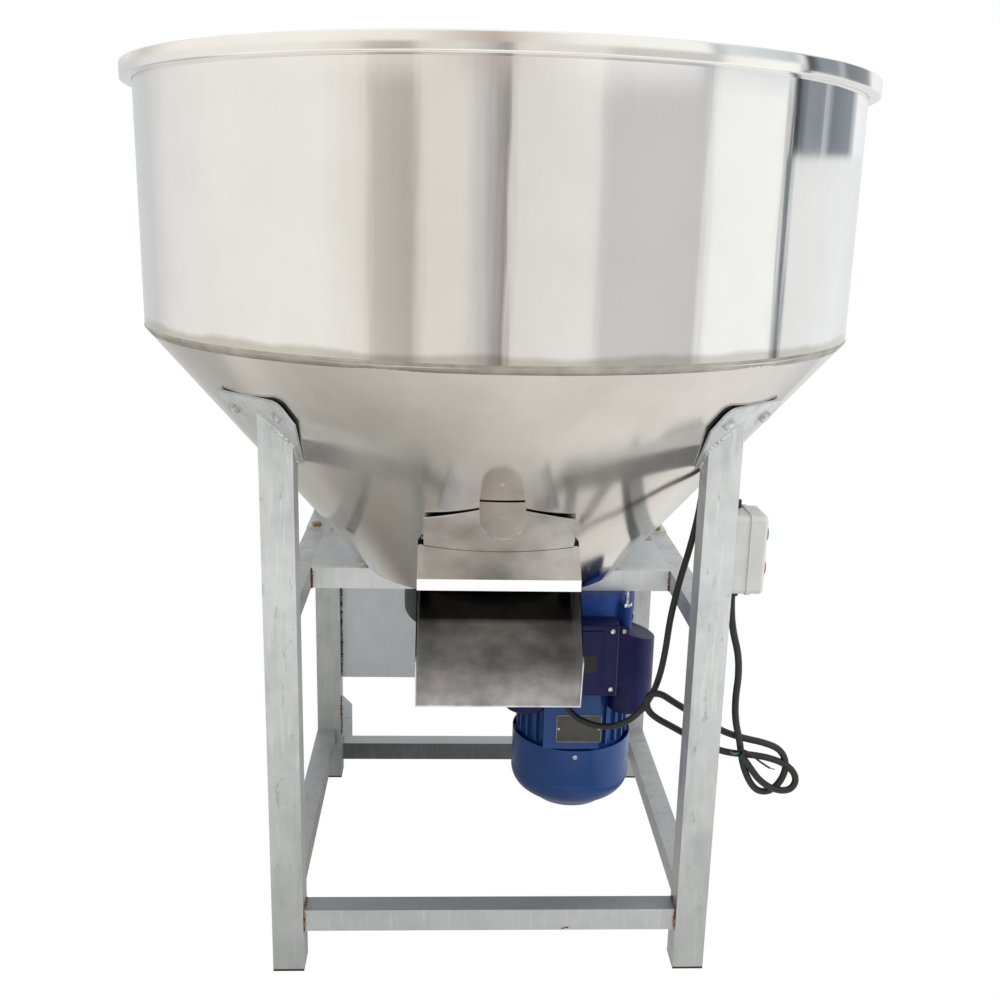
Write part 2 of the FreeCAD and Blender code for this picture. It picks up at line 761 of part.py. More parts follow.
# Output shaft with its gear
shaft_bottom = case_bottom + shaft_end_rise
shaft_top = hub_bottom + hub_height
output_shaft = rod(output_shaft_radius, shaft_bottom, shaft_top)
save("output_shaft", output_shaft)
output_gear = gear_blank(slow_module, output_teeth, slow_face, slow_gear_height, (0, 0), output_phase)
rim_inner = slow_module * output_teeth / 2 - gear_rim
boss_radius = output_shaft_radius + boss_thickness
slow_gear_top = slow_gear_height + slow_face
output_gear = output_gear.cut(rod(output_shaft_radius, slow_gear_height, slow_gear_top))
output_gear = output_gear.cut(ring(rim_inner, boss_radius, slow_gear_height, slow_gear_height + web_recess))
output_gear = output_gear.cut(ring(rim_inner, boss_radius, slow_gear_top - web_recess, slow_gear_top))
save("output_gear", largest(output_gear))

# Layshaft with its pinion, and the gear that the motor drives
lay_bottom = case_bottom + shaft_end_rise
lay_top = case_cover_bottom + lay_bearing_width
layshaft = rod(lay_shaft_radius, lay_bottom, lay_top, lay_axis)
pinion = gear_blank(slow_module, pinion_teeth, slow_face, slow_gear_height, lay_axis, pinion_phase)
save("layshaft", layshaft.fuse(pinion))
lay_gear = gear_blank(fast_module, lay_teeth, fast_face, fast_gear_height, lay_axis, lay_phase)
lay_gear = lay_gear.cut(rod(lay_shaft_radius, fast_gear_height, fast_gear_height + fast_face, lay_axis))
save("layshaft_gear", largest(lay_gear))

# Gear case: one casting with three lobes, and a flat cover under the cross rails
lobes = [((0.0, 0.0), output_lobe), (motor_axis, motor_lobe), (lay_axis, lay_lobe)]


def lobed(inset, z0, z1):
    shape = rod(lobes[0][1] - inset, z0, z1, lobes[0][0])
    for centre, radius in lobes[1:]:
        shape = shape.fuse(rod(radius - inset, z0, z1, centre))
    return shape.removeSplitter()


case = lobed(0.0, case_bottom, case_cover_bottom)
bottom_edges = [e for e in case.Edges if abs(e.BoundBox.ZMax - case_bottom) < 0.01]
case = case.makeFillet(case_edge_round, bottom_edges)
case_floor = case_bottom + case_wall
case = case.cut(lobed(case_wall, case_floor, case_cover_bottom))
case = case.fuse(rod(output_bearing_radius + bearing_boss, case_floor, case_floor + bearing_boss))
output_bearing_low = case_bottom + case_wall / 2
output_bearing_top = output_bearing_low + lower_bearing_width
upper_seat_top = case_cover_bottom + output_bearing_width
lay_bearing_low = case_floor - lay_seat_depth
case = case.cut(rod(output_bearing_radius, output_bearing_low, case_floor + bearing_boss))
case = case.cut(rod(output_shaft_radius + shaft_clearance, shaft_bottom - end_gap, output_bearing_low))
case = case.cut(rod(lay_bearing_radius, lay_bearing_low, case_floor, lay_axis))
case = case.cut(rod(lay_shaft_radius + shaft_clearance, lay_bottom - end_gap, lay_bearing_low, lay_axis))
pinion_tip = fast_module * (motor_teeth / 2 + addendum_factor)
case = case.cut(rod(pinion_tip + case_wall / 2, case_bottom, case_floor, motor_axis))

# Lugs on the motor lobe take the bolts down into the motor's flange
lug_circle = motor_lobe + lug_reach
lug_top = case_bottom + lug_height
lug_turns = [math.radians(a) for a in lug_angles]
lug_places = [(motor_offset + lug_circle * math.cos(a), lug_circle * math.sin(a)) for a in lug_turns]
lobe_core = rod(motor_lobe - case_wall / 2, case_bottom, case_cover_bottom, motor_axis)


def radial_bar(angle, width, inner, outer, z0, z1):
    """A bar that points outwards from the motor's axis."""
    bar = box(inner, outer, -width / 2, width / 2, z0, z1)
    bar.rotate(Vec(0, 0, 0), Vec(0, 0, 1), angle)
    bar.translate(Vec(motor_offset, 0, 0))
    return bar


def lug(angle, place, z0, z1, grown=0.0):
    radius = lug_radius + grown
    web = radial_bar(angle, 2 * radius, motor_lobe - lug_radius, lug_circle, z0, z1)
    return rod(radius, z0, z1, place).fuse(web)


for angle, place in zip(lug_angles, lug_places):
    case = case.fuse(lug(angle, place, case_bottom, lug_top).cut(lobe_core))
case = case.removeSplitter()
for place in lug_places:
    case = case.cut(rod(bolt_radius, case_bottom, lug_top, place))
save("gearcase_body", largest(case))

cover = lobed(0.0, case_cover_bottom, case_top)
cover = cover.cut(rod(output_bearing_radius, case_cover_bottom, upper_seat_top))
cover = cover.cut(rod(output_shaft_radius + shaft_clearance, case_cover_bottom, case_top))
cover = cover.cut(rod(lay_bearing_radius, case_cover_bottom, lay_top, lay_axis))
cover = cover.cut(rod(lay_shaft_radius + shaft_clearance, case_cover_bottom, lay_top + end_gap, lay_axis))
for place in drive_bolt_places:
    cover = cover.cut(rod(bolt_radius, case_top - drive_thread, case_top, place))
save("gearcase_cover", largest(cover))

# Bolts of the drive: through the deck into the cover, and down through the case lugs
drive_bolt_length = cone_bottom - case_top + drive_thread
drive_bolts = [bolt(Vec(x, y, cone_bottom), upright, drive_bolt_length) for x, y in drive_bolt_places]
drive_bolts += [bolt(Vec(x, y, lug_top), upright, lug_top - motor_top) for x, y in lug_places]
save("drive_bolts", *drive_bolts)

# Motor: flange, ribbed housing, stator, rotor with its pinion, fan and cowl
flange = rod(motor_lobe, motor_top, case_bottom, motor_axis)
for angle, place in zip(lug_angles, lug_places):
    flange = flange.fuse(lug(angle, place, motor_top, case_bottom))
flange = flange.removeSplitter()
for place in lug_places:
    flange = flange.cut(rod(bolt_radius, motor_top, case_bottom, place))
flange = flange.cut(rod(motor_shaft_radius + shaft_clearance, motor_top, case_bottom, motor_axis))
flange = flange.cut(rod(motor_bearing_radius, motor_top, motor_top + motor_bearing_width, motor_axis))
save("motor_flange", flange)

housing = rod(motor_radius, motor_bottom, motor_top, motor_axis)
rib_tip = motor_radius + rib_height
rib_step = 360.0 / rib_count
rib_bottom = cowl_top + rib_width
rib_root = motor_radius - motor_wall / 2
ribs = []
for i in range(rib_count):
    angle = -90 + rib_step * (i + 0.5)
    ribs.append(radial_bar(angle, rib_width, rib_root, rib_tip, rib_bottom, motor_top))
cowl_inside = rod(cowl_radius - cowl_wall, motor_bottom, motor_top, motor_axis)
pads = []
for angle in (-90.0, 0.0, 90.0, 180.0):
    pad = radial_bar(angle, pad_width, rib_root, cowl_radius, motor_bottom, cowl_top - rib_width)
    pads.append(pad.common(cowl_inside))
name_pad_centre = motor_offset + name_pad_shift
name_pad = box(name_pad_centre - name_pad_width / 2, name_pad_centre + name_pad_width / 2,
               -(motor_radius + name_pad_proud), 0, rib_bottom, box_bottom)
seat_half = box_half_width - case_wall
seat_bottom = box_bottom + grommet_radius
seat = box(motor_offset - seat_half, motor_offset + seat_half, -box_back, 0, seat_bottom, motor_top)
housing = housing.fuse(ribs + pads + [name_pad, seat]).removeSplitter()
end_top = motor_bottom + motor_end_thickness
lower_bearing = (end_top - motor_bearing_width, end_top)
upper_bearing = (motor_top, motor_top + motor_bearing_width)
housing = housing.cut(rod(motor_radius - motor_wall, end_top, motor_top, motor_axis))
housing = housing.cut(rod(motor_bearing_radius, lower_bearing[0], lower_bearing[1], motor_axis))
housing = housing.cut(rod(motor_shaft_radius + shaft_clearance, motor_bottom, end_top, motor_axis))
save("motor_housing", largest(housing))

stator_outer = motor_radius - motor_wall
stator_top = stator_bottom + stator_length
winding = ring(stator_outer - winding_inset, rotor_radius + winding_inset / 2,
               stator_bottom - winding_reach, stator_top + winding_reach, motor_axis)
stator = ring(stator_outer, rotor_radius + air_gap, stator_bottom, stator_top, motor_axis).fuse(winding)
save("stator", stator.removeSplitter())

rotor = rod(motor_shaft_radius, lower_bearing[0], motor_shaft_top, motor_axis)
rotor = rotor.fuse(rod(fan_shaft_radius, fan_bottom, lower_bearing[0], motor_axis))
rotor = rotor.fuse(rod(rotor_radius, stator_bottom, stator_top, motor_axis))
rotor = rotor.fuse(gear_blank(fast_module, motor_teeth, fast_face, fast_gear_height, motor_axis, motor_phase))
save("motor_rotor", largest(rotor.removeSplitter()))


def bearing(outer, shaft_radius, z0, z1, centre=(0.0, 0.0)):
    """A bearing as one ring with a running clearance on its shaft."""
    return ring(outer, shaft_radius + running_clearance, z0, z1, centre)


bearings = [
    bearing(output_bearing_radius, output_shaft_radius, output_bearing_low, output_bearing_top),
    bearing(output_bearing_radius, output_shaft_radius, case_cover_bottom, upper_seat_top),
    bearing(lay_bearing_radius, lay_shaft_radius, lay_bearing_low, case_floor, lay_axis),
    bearing(lay_bearing_radius, lay_shaft_radius, case_cover_bottom, lay_top, lay_axis),
    bearing(motor_bearing_radius, motor_shaft_radius, upper_bearing[0], upper_bearing[1], motor_axis),
    bearing(motor_bearing_radius, motor_shaft_radius, lower_bearing[0], lower_bearing[1], motor_axis)]
save("shaft_bearings", *bearings)

seal_inner = output_shaft_radius + running_clearance
save("shaft_seal", ring(seal_radius, seal_inner, floor_top, floor_top + seal_height))

fan_top = fan_bottom + fan_width
fan_hub_radius = fan_shaft_radius + fan_hub_thickness
fan = rod(fan_hub_radius, fan_bottom, fan_top, motor_axis)
blade_root = fan_shaft_radius + fan_blade_thickness
for i in range(fan_blades):
    blade_angle = 360.0 / fan_blades * i
    fan = fan.fuse(radial_bar(blade_angle, fan_blade_thickness, blade_root, fan_radius, fan_bottom, fan_top))
fan_disc = rod(fan_radius - fan_hub_thickness, fan_top - fan_blade_thickness, fan_top, motor_axis)
fan = fan.fuse(fan_disc).removeSplitter()
fan = fan.cut(rod(fan_shaft_radius, fan_bottom, fan_top, motor_axis))
save("fan", largest(fan))


def cowl_body(inset):
    """The cowl turned about the motor's axis: a drum, a curved shoulder, a step and a bevelled grille."""
    drum = cowl_radius - inset
    grille = grille_radius - inset
    step = grille + cowl_step
    low = cowl_shoulder_bottom + inset
    base = low - cowl_grille_drop

    def at(radius, height):
        return Vec(motor_offset + radius, 0, height)

    bend = math.sqrt(0.5)
    shoulder = at(step + (drum - step) * bend, low + (cowl_shoulder_top - low) * (1 - bend))
    edges = [
        Part.LineSegment(at(0, base), at(0, cowl_top)).toShape(),
        Part.LineSegment(at(0, cowl_top), at(drum, cowl_top)).toShape(),
        Part.LineSegment(at(drum, cowl_top), at(drum, cowl_shoulder_top)).toShape(),
        Part.Arc(at(drum, cowl_shoulder_top), shoulder, at(step, low)).toShape(),
        Part.LineSegment(at(step, low), at(grille, low)).toShape(),
        Part.LineSegment(at(grille, low), at(grille - cowl_grille_drop, base)).toShape(),
        Part.LineSegment(at(grille - cowl_grille_drop, base), at(0, base)).toShape()]
    return Part.Face(Part.Wire(edges)).revolve(at(0, 0), Vec(0, 0, 1), 360)


cowl = cowl_body(0.0).cut(cowl_body(cowl_wall))
cowl_base = cowl_shoulder_bottom - cowl_grille_drop
slot_inner = grille_radius * 0.3
slot_outer = grille_radius - cowl_grille_drop - grille_slot_width
for i in range(grille_slots):
    slot_angle = 360.0 / grille_slots * (i + 0.5)
    slot = radial_bar(slot_angle, grille_slot_width, slot_inner, slot_outer, cowl_base, cowl_base + cowl_wall)
    cowl = cowl.cut(slot)
save("fan_cowl", largest(cowl))

# Terminal box with its lid, and the two capacitor covers beside it
box_front = -(box_back + box_depth)
box_left = motor_offset - box_half_width
box_right = motor_offset + box_half_width
terminal = box(box_left, box_right, -box_back, box_front, box_bottom, box_top)
front_uprights = [e for e in terminal.Edges
                  if abs(e.Length - box_height) < 0.01 and e.CenterOfMass.y < -box_back - box_wall]
terminal = terminal.makeFillet(box_round, front_uprights)
terminal = terminal.cut(box(box_left + box_wall, box_right - box_wall, -box_back - box_wall, box_front,
                            box_bottom + box_wall, box_top - box_wall))
lead_entry = (motor_offset - lead_entry_offset, -(box_back + box_depth / 2))
entry_radius = grommet_radius - grommet_shoulder
terminal = terminal.cut(rod(entry_radius, box_bottom, box_bottom + box_wall, lead_entry))
save("terminal_box", largest(terminal))
lid = box(box_left, box_right, box_front, box_front - lid_depth, box_bottom, box_top)
lid_edges = [e for e in lid.Edges if e.CenterOfMass.y < box_front - lid_depth + 0.01]
lid = lid.makeFillet(box_round / 2, lid_edges)
save("terminal_lid", lid)

reach_y = -2 * (capacitor_offset_y + capacitor_radius)
over_top = capacitor_top + lug_height
for name, side in [("left", -1), ("right", 1)]:
    centre = (motor_offset + side * capacitor_offset_x, -capacitor_offset_y)
    can = rod(capacitor_radius, capacitor_bottom, capacitor_top, centre)
    bridge_end = motor_offset + side * (box_half_width + cover_gap)
    bridge = box(bridge_end, centre[0], -capacitor_offset_y - capacitor_radius, -capacitor_offset_y,
                 box_bottom, capacitor_top)
    can = can.fuse(bridge).removeSplitter()
    bottom_edge = [e for e in can.Edges if abs(e.BoundBox.ZMax - capacitor_bottom) < 0.01]
    can = can.makeFillet(capacitor_round, bottom_edge)
    tip = centre[0] + side * capacitor_radius
    sloped = [(tip, capacitor_top - capacitor_top_fall), (tip, over_top), (bridge_end, over_top),
              (bridge_end, capacitor_top)]
    can = can.cut(prism([(x, reach_y, z) for x, z in sloped], Vec(0, -reach_y, 0)))
    can = can.cut(rod(rib_tip + cover_gap, capacitor_bottom, over_top, motor_axis))
    can = can.cut(rod(motor_lobe + cover_gap, motor_top - cover_gap, case_bottom, motor_axis))
    can = can.cut(lobed(-cover_gap, case_bottom - cover_gap, over_top))
    for angle, place in zip(lug_angles, lug_places):
        can = can.cut(lug(angle, place, motor_top - cover_gap, over_top, cover_gap))
    box_side_a = box_left - cover_gap
    box_side_b = box_right + cover_gap
    can = can.cut(box(box_side_a, box_side_b, reach_y, 0, box_bottom - cover_gap, over_top))
    pad_low = name_pad_centre - name_pad_width / 2 - cover_gap
    pad_high = name_pad_centre + name_pad_width / 2 + cover_gap
    can = can.cut(box(pad_low, pad_high, reach_y, 0, capacitor_bottom, over_top))
    save("capacitor_cover_" + name, largest(can))

# Mixing rotor: hub on the shaft, two arms that follow the cone, and tilted paddles on their tops
hub = ring(hub_radius, output_shaft_radius, hub_bottom, shaft_top)
cap = Part.makeCone(hub_radius, output_shaft_radius, hub_cap_height, Vec(0, 0, shaft_top))
save("mixer_hub", hub.fuse(cap).removeSplitter())


def swept_radius(height):
    return cone_radius(height) - sheet_inset - arm_wall_gap / math.cos(cone_angle)


arm_root_top = hub_bottom + arm_root_height
arm_inner = arm_width / math.cos(cone_angle)
arm_tip = swept_radius(arm_top_height)
arm_start = hub_radius - arm_thickness / 2
arm_outline = [
    (arm_start, hub_bottom), (swept_radius(hub_bottom), hub_bottom), (arm_tip, arm_top_height),
    (arm_tip - arm_inner, arm_top_height), (swept_radius(arm_root_top) - arm_inner, arm_root_top),
    (arm_start, arm_root_top)]
arms = []
for turn in (0, 180):
    arm = prism([(r, -arm_thickness / 2, z) for r, z in arm_outline], Vec(0, arm_thickness, 0))
    paddle_end = swept_radius(arm_top_height - paddle_height) - paddle_inset
    paddle = box(paddle_end - paddle_length, paddle_end, -paddle_thickness / 2, paddle_thickness / 2,
                 -paddle_height / 2, paddle_height / 2)
    paddle.rotate(Vec(0, 0, 0), Vec(1, 0, 0), paddle_pitch)
    paddle.translate(Vec(0, 0, arm_top_height - paddle_height))
    arm = arm.fuse(paddle).removeSplitter().cut(rod(hub_radius, hub_bottom, shaft_top))
    arm.rotate(Vec(0, 0, 0), Vec(0, 0, 1), turn + arm_azimuth)
    arms.append(largest(arm))
save("mixer_arms", *arms)

# Switch box: base on the leg's outer face, cover with two push buttons
switch_half = switch_width / 2
switch_top = switch_bottom + switch_height
base_front = half_x + switch_base_depth


def rounded_case(x0, x1, half, z0, z1, radius):
    shape = box(x0, x1, switch_y - half, switch_y + half, z0, z1)
    edges = [e for e in shape.Edges if abs(e.BoundBox.XLength - (x1 - x0)) < 0.01]
    return shape.makeFillet(radius, edges)


base = rounded_case(half_x, base_front, switch_half, switch_bottom, switch_top, switch_round)
inner_half = switch_half - switch_wall
inner_low = switch_bottom + switch_wall
inner_high = switch_top - switch_wall
inner_round = switch_round - switch_wall
base_hollow = rounded_case(half_x + switch_wall, base_front, inner_half, inner_low, inner_high, inner_round)
base = base.cut(base_hollow)
lead_exit = (half_x + switch_base_depth / 2, switch_y + lead_exit_shift)
cord_exit = (half_x + switch_base_depth / 2, switch_y)
grommet_neck = grommet_radius - grommet_shoulder
base = base.cut(rod(grommet_neck, switch_top - switch_wall, switch_top, lead_exit))
base = base.cut(rod(grommet_neck, switch_bottom, switch_bottom + switch_wall, cord_exit))
save("switch_box_base", largest(base))

switch_cover = rounded_case(base_front, base_front + cover_lip_depth, switch_half + cover_lip,
                            switch_bottom - cover_lip, switch_top + cover_lip, switch_round + cover_lip)
face_part = rounded_case(base_front, switch_face, switch_half, switch_bottom, switch_top, switch_round)
outer_edges = [e for e in face_part.Edges if abs(e.BoundBox.XMin - switch_face) < 0.01]
face_part = face_part.makeFillet(switch_round - cover_lip, outer_edges)
switch_cover = switch_cover.fuse(face_part).removeSplitter()
cover_back = switch_face - switch_wall
cover_hollow = rounded_case(base_front, cover_back, inner_half, inner_low, inner_high, inner_round)
switch_cover = switch_cover.cut(cover_hollow)
switch_mid = (switch_bottom + switch_top) / 2
button_heights = {
    "start_button": switch_mid + button_spacing / 2,
    "stop_button": switch_mid - button_spacing / 2}
for height in button_heights.values():
    hole_start = Vec(base_front, switch_y, height)
    hole_end = Vec(switch_face + button_proud, switch_y, height)
    switch_cover = switch_cover.cut(rod_between(hole_start, hole_end, button_radius + button_clearance))
save("switch_box_cover", largest(switch_cover))
button_back = switch_face - switch_wall - button_collar - button_clearance
for name, height in button_heights.items():
    back = Vec(button_back, switch_y, height)
    tip = Vec(switch_face + button_proud, switch_y, height)
    button = rod_between(back, tip, button_radius)
    button = button.makeFillet(button_round, [e for e in button.Edges if abs(e.BoundBox.XMin - tip.x) < 0.01])
    collar = rod_between(back, back + Vec(button_collar, 0, 0), button_radius + button_collar_width)
    save(name, button.fuse(collar).removeSplitter())

# Rubber grommets: out of the switch box at the top and bottom, and into the terminal box
lead_radius = lead_diameter / 2
cord_radius = cord_diameter / 2
grommets = [
    ring(grommet_radius, lead_radius, switch_top, switch_top + grommet_length, lead_exit),
    ring(grommet_radius, cord_radius, switch_bottom - grommet_length, switch_bottom, cord_exit),
    ring(grommet_radius, lead_radius, box_bottom - grommet_length, box_bottom, lead_entry)]
save("cord_grommets", *grommets)


# Cords: straight runs joined by tangent arcs
def cord(points, radius):
    """A round tube along a route, whose corners are arcs that touch the runs before and after them."""
    points = [Vec(*p) for p in points]
    edges = []
    start = points[0]
    for before, corner_point, after in zip(points, points[1:], points[2:]):
        arriving = corner_point - before
        leaving = after - corner_point
        shorter = min(arriving.Length, leaving.Length)
        arriving = Vec(arriving).normalize()
        leaving = Vec(leaving).normalize()
        turn = arriving.getAngle(leaving)
        cut_back = corner_share * shorter
        bend = cut_back / math.tan(turn / 2)
        arc_start = corner_point - arriving * cut_back
        arc_end = corner_point + leaving * cut_back
        toward = (leaving - arriving).normalize()
        to_centre = bend / math.cos(turn / 2)
        arc_middle = corner_point + toward * (to_centre - bend)
        edges.append(Part.LineSegment(start, arc_start).toShape())
        edges.append(Part.Arc(arc_start, arc_middle, arc_end).toShape())
        start = arc_end
    edges.append(Part.LineSegment(start, points[-1]).toShape())
    path = Part.Wire(edges)
    circle = Part.makeCircle(radius, points[0], (points[1] - points[0]).normalize())
    return path.makePipeShell([Part.Wire([circle])], True, False)


lead_route = [
    (lead_exit[0], lead_exit[1], switch_top), (lead_exit[0], lead_exit[1] + 1, switch_top + 21),
    (286, -222, 654), (274, -215, 660), (262, -209, 653), (256, -204, 634), (254, -199, 600),
    (247, -195, 556), (237, -190, 508), (229, -187, 458), (226, -185, 410), (220, -182, 368),
    (209, -178, 336), (191, -172, 309), (168, -163, 292), (146, -149, 286), (126, -132, 286),
    (112, -115, 291), (lead_entry[0], lead_entry[1] - 1, 303), (lead_entry[0], lead_entry[1], box_bottom)]
save("motor_lead", cord(lead_route, lead_radius))

cord_route = [
    (cord_exit[0], cord_exit[1], switch_bottom), (cord_exit[0] + 1, cord_exit[1], 491),
    (299, -241, 460), (309, -236, 430), (313, -232, 398), (313, -228, 365), (314, -224, 332),
    (321, -221, 302), (328, -220, 280)]
save("power_cord", cord(cord_route, cord_radius))

# Hank of the power cord: the outer shape of its loops, in an upright plane behind the leg
hank_outline = [
    (204, 350), (214, 362), (238, 353), (311, 315), (386, 296), (406, 268), (411, 247), (402, 227),
    (352, 221), (334, 241), (318, 276), (257, 297), (211, 331)]
hank_left = hank_outline[0][0]
hank_points = [(x, hank_left_y - (x - hank_left) * hank_slope, z) for x, z in hank_outline]
save("power_hank", prism(hank_points, Vec(hank_slope, 1, 0).normalize() * hank_thickness))
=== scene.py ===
import bmesh
import bpy
import math
import random
from mathutils import Matrix, Vector, noise


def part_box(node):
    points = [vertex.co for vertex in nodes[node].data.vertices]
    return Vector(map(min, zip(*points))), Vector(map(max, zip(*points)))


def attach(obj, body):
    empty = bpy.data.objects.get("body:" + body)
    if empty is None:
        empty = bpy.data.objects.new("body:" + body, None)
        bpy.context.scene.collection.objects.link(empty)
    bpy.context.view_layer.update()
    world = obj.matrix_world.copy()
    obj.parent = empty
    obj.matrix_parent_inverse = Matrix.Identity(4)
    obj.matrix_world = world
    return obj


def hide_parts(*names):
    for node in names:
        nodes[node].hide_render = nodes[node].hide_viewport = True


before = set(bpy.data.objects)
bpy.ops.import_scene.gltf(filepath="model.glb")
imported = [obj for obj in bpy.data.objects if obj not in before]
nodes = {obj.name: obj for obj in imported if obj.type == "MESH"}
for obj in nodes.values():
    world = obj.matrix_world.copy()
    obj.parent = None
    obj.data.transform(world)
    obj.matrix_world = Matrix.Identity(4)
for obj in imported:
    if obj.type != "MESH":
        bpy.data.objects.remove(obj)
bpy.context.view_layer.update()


def mm(*values):
    """Millimetres to metres, as a vector when there are three."""
    scaled = [value / 1000.0 for value in values]
    return Vector(scaled) if len(scaled) == 3 else scaled[0]


# Sizes read from the frame, the sheet's, and the room that dents take inside the rim's box
rim_low, rim_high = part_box("barrel_rim")
wall_low, wall_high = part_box("barrel_wall")
cone_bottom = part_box("barrel_cone")[0].z
barrel_radius = wall_high.x
dent_room = mm(0.3)
rim_radius = rim_high.x - dent_room
barrel_top = rim_high.z
rim_bottom = rim_low.z
seam_height = wall_low.z
cone_bottom_radius = mm(182.1)
sheet = mm(1.5)

cone_slope = (barrel_radius - cone_bottom_radius) / (seam_height - cone_bottom)
cone_sheet = sheet / math.cos(math.atan(cone_slope))


def cone_radius(height):
    """The cone's outer radius at a height."""
    return cone_bottom_radius + (height - cone_bottom) * cone_slope


def linear(code, alpha=1.0):
    """An sRGB hex colour as linear values."""
    parts = [int(code[i:i + 2], 16) / 255.0 for i in (1, 3, 5)]
    return [c / 12.92 if c <= 0.04045 else ((c + 0.055) / 1.055) ** 2.4 for c in parts] + [alpha]


def add(tree, kind, output=None, settings=None, stops=None, **links):
    """Adds a node with its settings, colour stops and links, and gives one of its outputs, or all of them.

    A link's name is the socket's, with _ for a space, or sN for the Nth socket.
    """
    made = tree.nodes.new("ShaderNode" + kind)
    for key, value in (settings or {}).items():
        setattr(made, key, value)
    if stops:
        elements = made.color_ramp.elements
        elements[0].position, elements[0].color = stops[0][0], linear(stops[0][1])
        elements[1].position, elements[1].color = stops[-1][0], linear(stops[-1][1])
        for position, code in stops[1:-1]:
            elements.new(position).color = linear(code)
    for key, value in links.items():
        numbered = key[0] == "s" and key[1:].isdigit()
        socket = made.inputs[int(key[1:])] if numbered else made.inputs[key.replace("_", " ")]
        if isinstance(value, bpy.types.NodeSocket):
            tree.links.new(value, socket)
        else:
            socket.default_value = value
    return made.outputs if output is None else made.outputs[output]


def laid_over(tree, base, colour, pattern, low, high, least=0.0, most=1.0, blend="MIX"):
    """A colour laid over the base as a pattern rises from low to high."""
    amount = add(tree, "MapRange", "Result", Value=pattern, From_Min=low, From_Max=high,
                 To_Min=least, To_Max=most)
    return add(tree, "Mix", 2, {"data_type": "RGBA", "blend_type": blend}, s0=amount, s6=base, s7=colour)


def per_metre(size_mm):
    """How often a pattern of this size repeats in a metre."""
    return 1000.0 / size_mm


def material(name, metallic=0.0, specular=None):
    """A new material with its surface shader, and its place on the object in metres."""
    made = bpy.data.materials.new(name)
    made.use_nodes = True
    tree = made.node_tree
    shader = tree.nodes["Principled BSDF"]
    shader.inputs["Metallic"].default_value = metallic
    if specular is not None:
        shader.inputs["Specular IOR Level"].default_value = specular
    return made, tree, shader, add(tree, "TexCoord", "Object")


def surfaced(tree, shader, colour, pattern, smooth, rough, relief=None):
    """Gives the surface its colour, a roughness that rises with a pattern, and fine relief."""
    roughness = add(tree, "MapRange", "Result", Value=pattern, From_Min=0.3, From_Max=0.7,
                    To_Min=smooth, To_Max=rough)
    tree.links.new(colour, shader.inputs["Base Color"])
    tree.links.new(roughness, shader.inputs["Roughness"])
    if relief is not None:
        tree.links.new(relief, shader.inputs["Normal"])


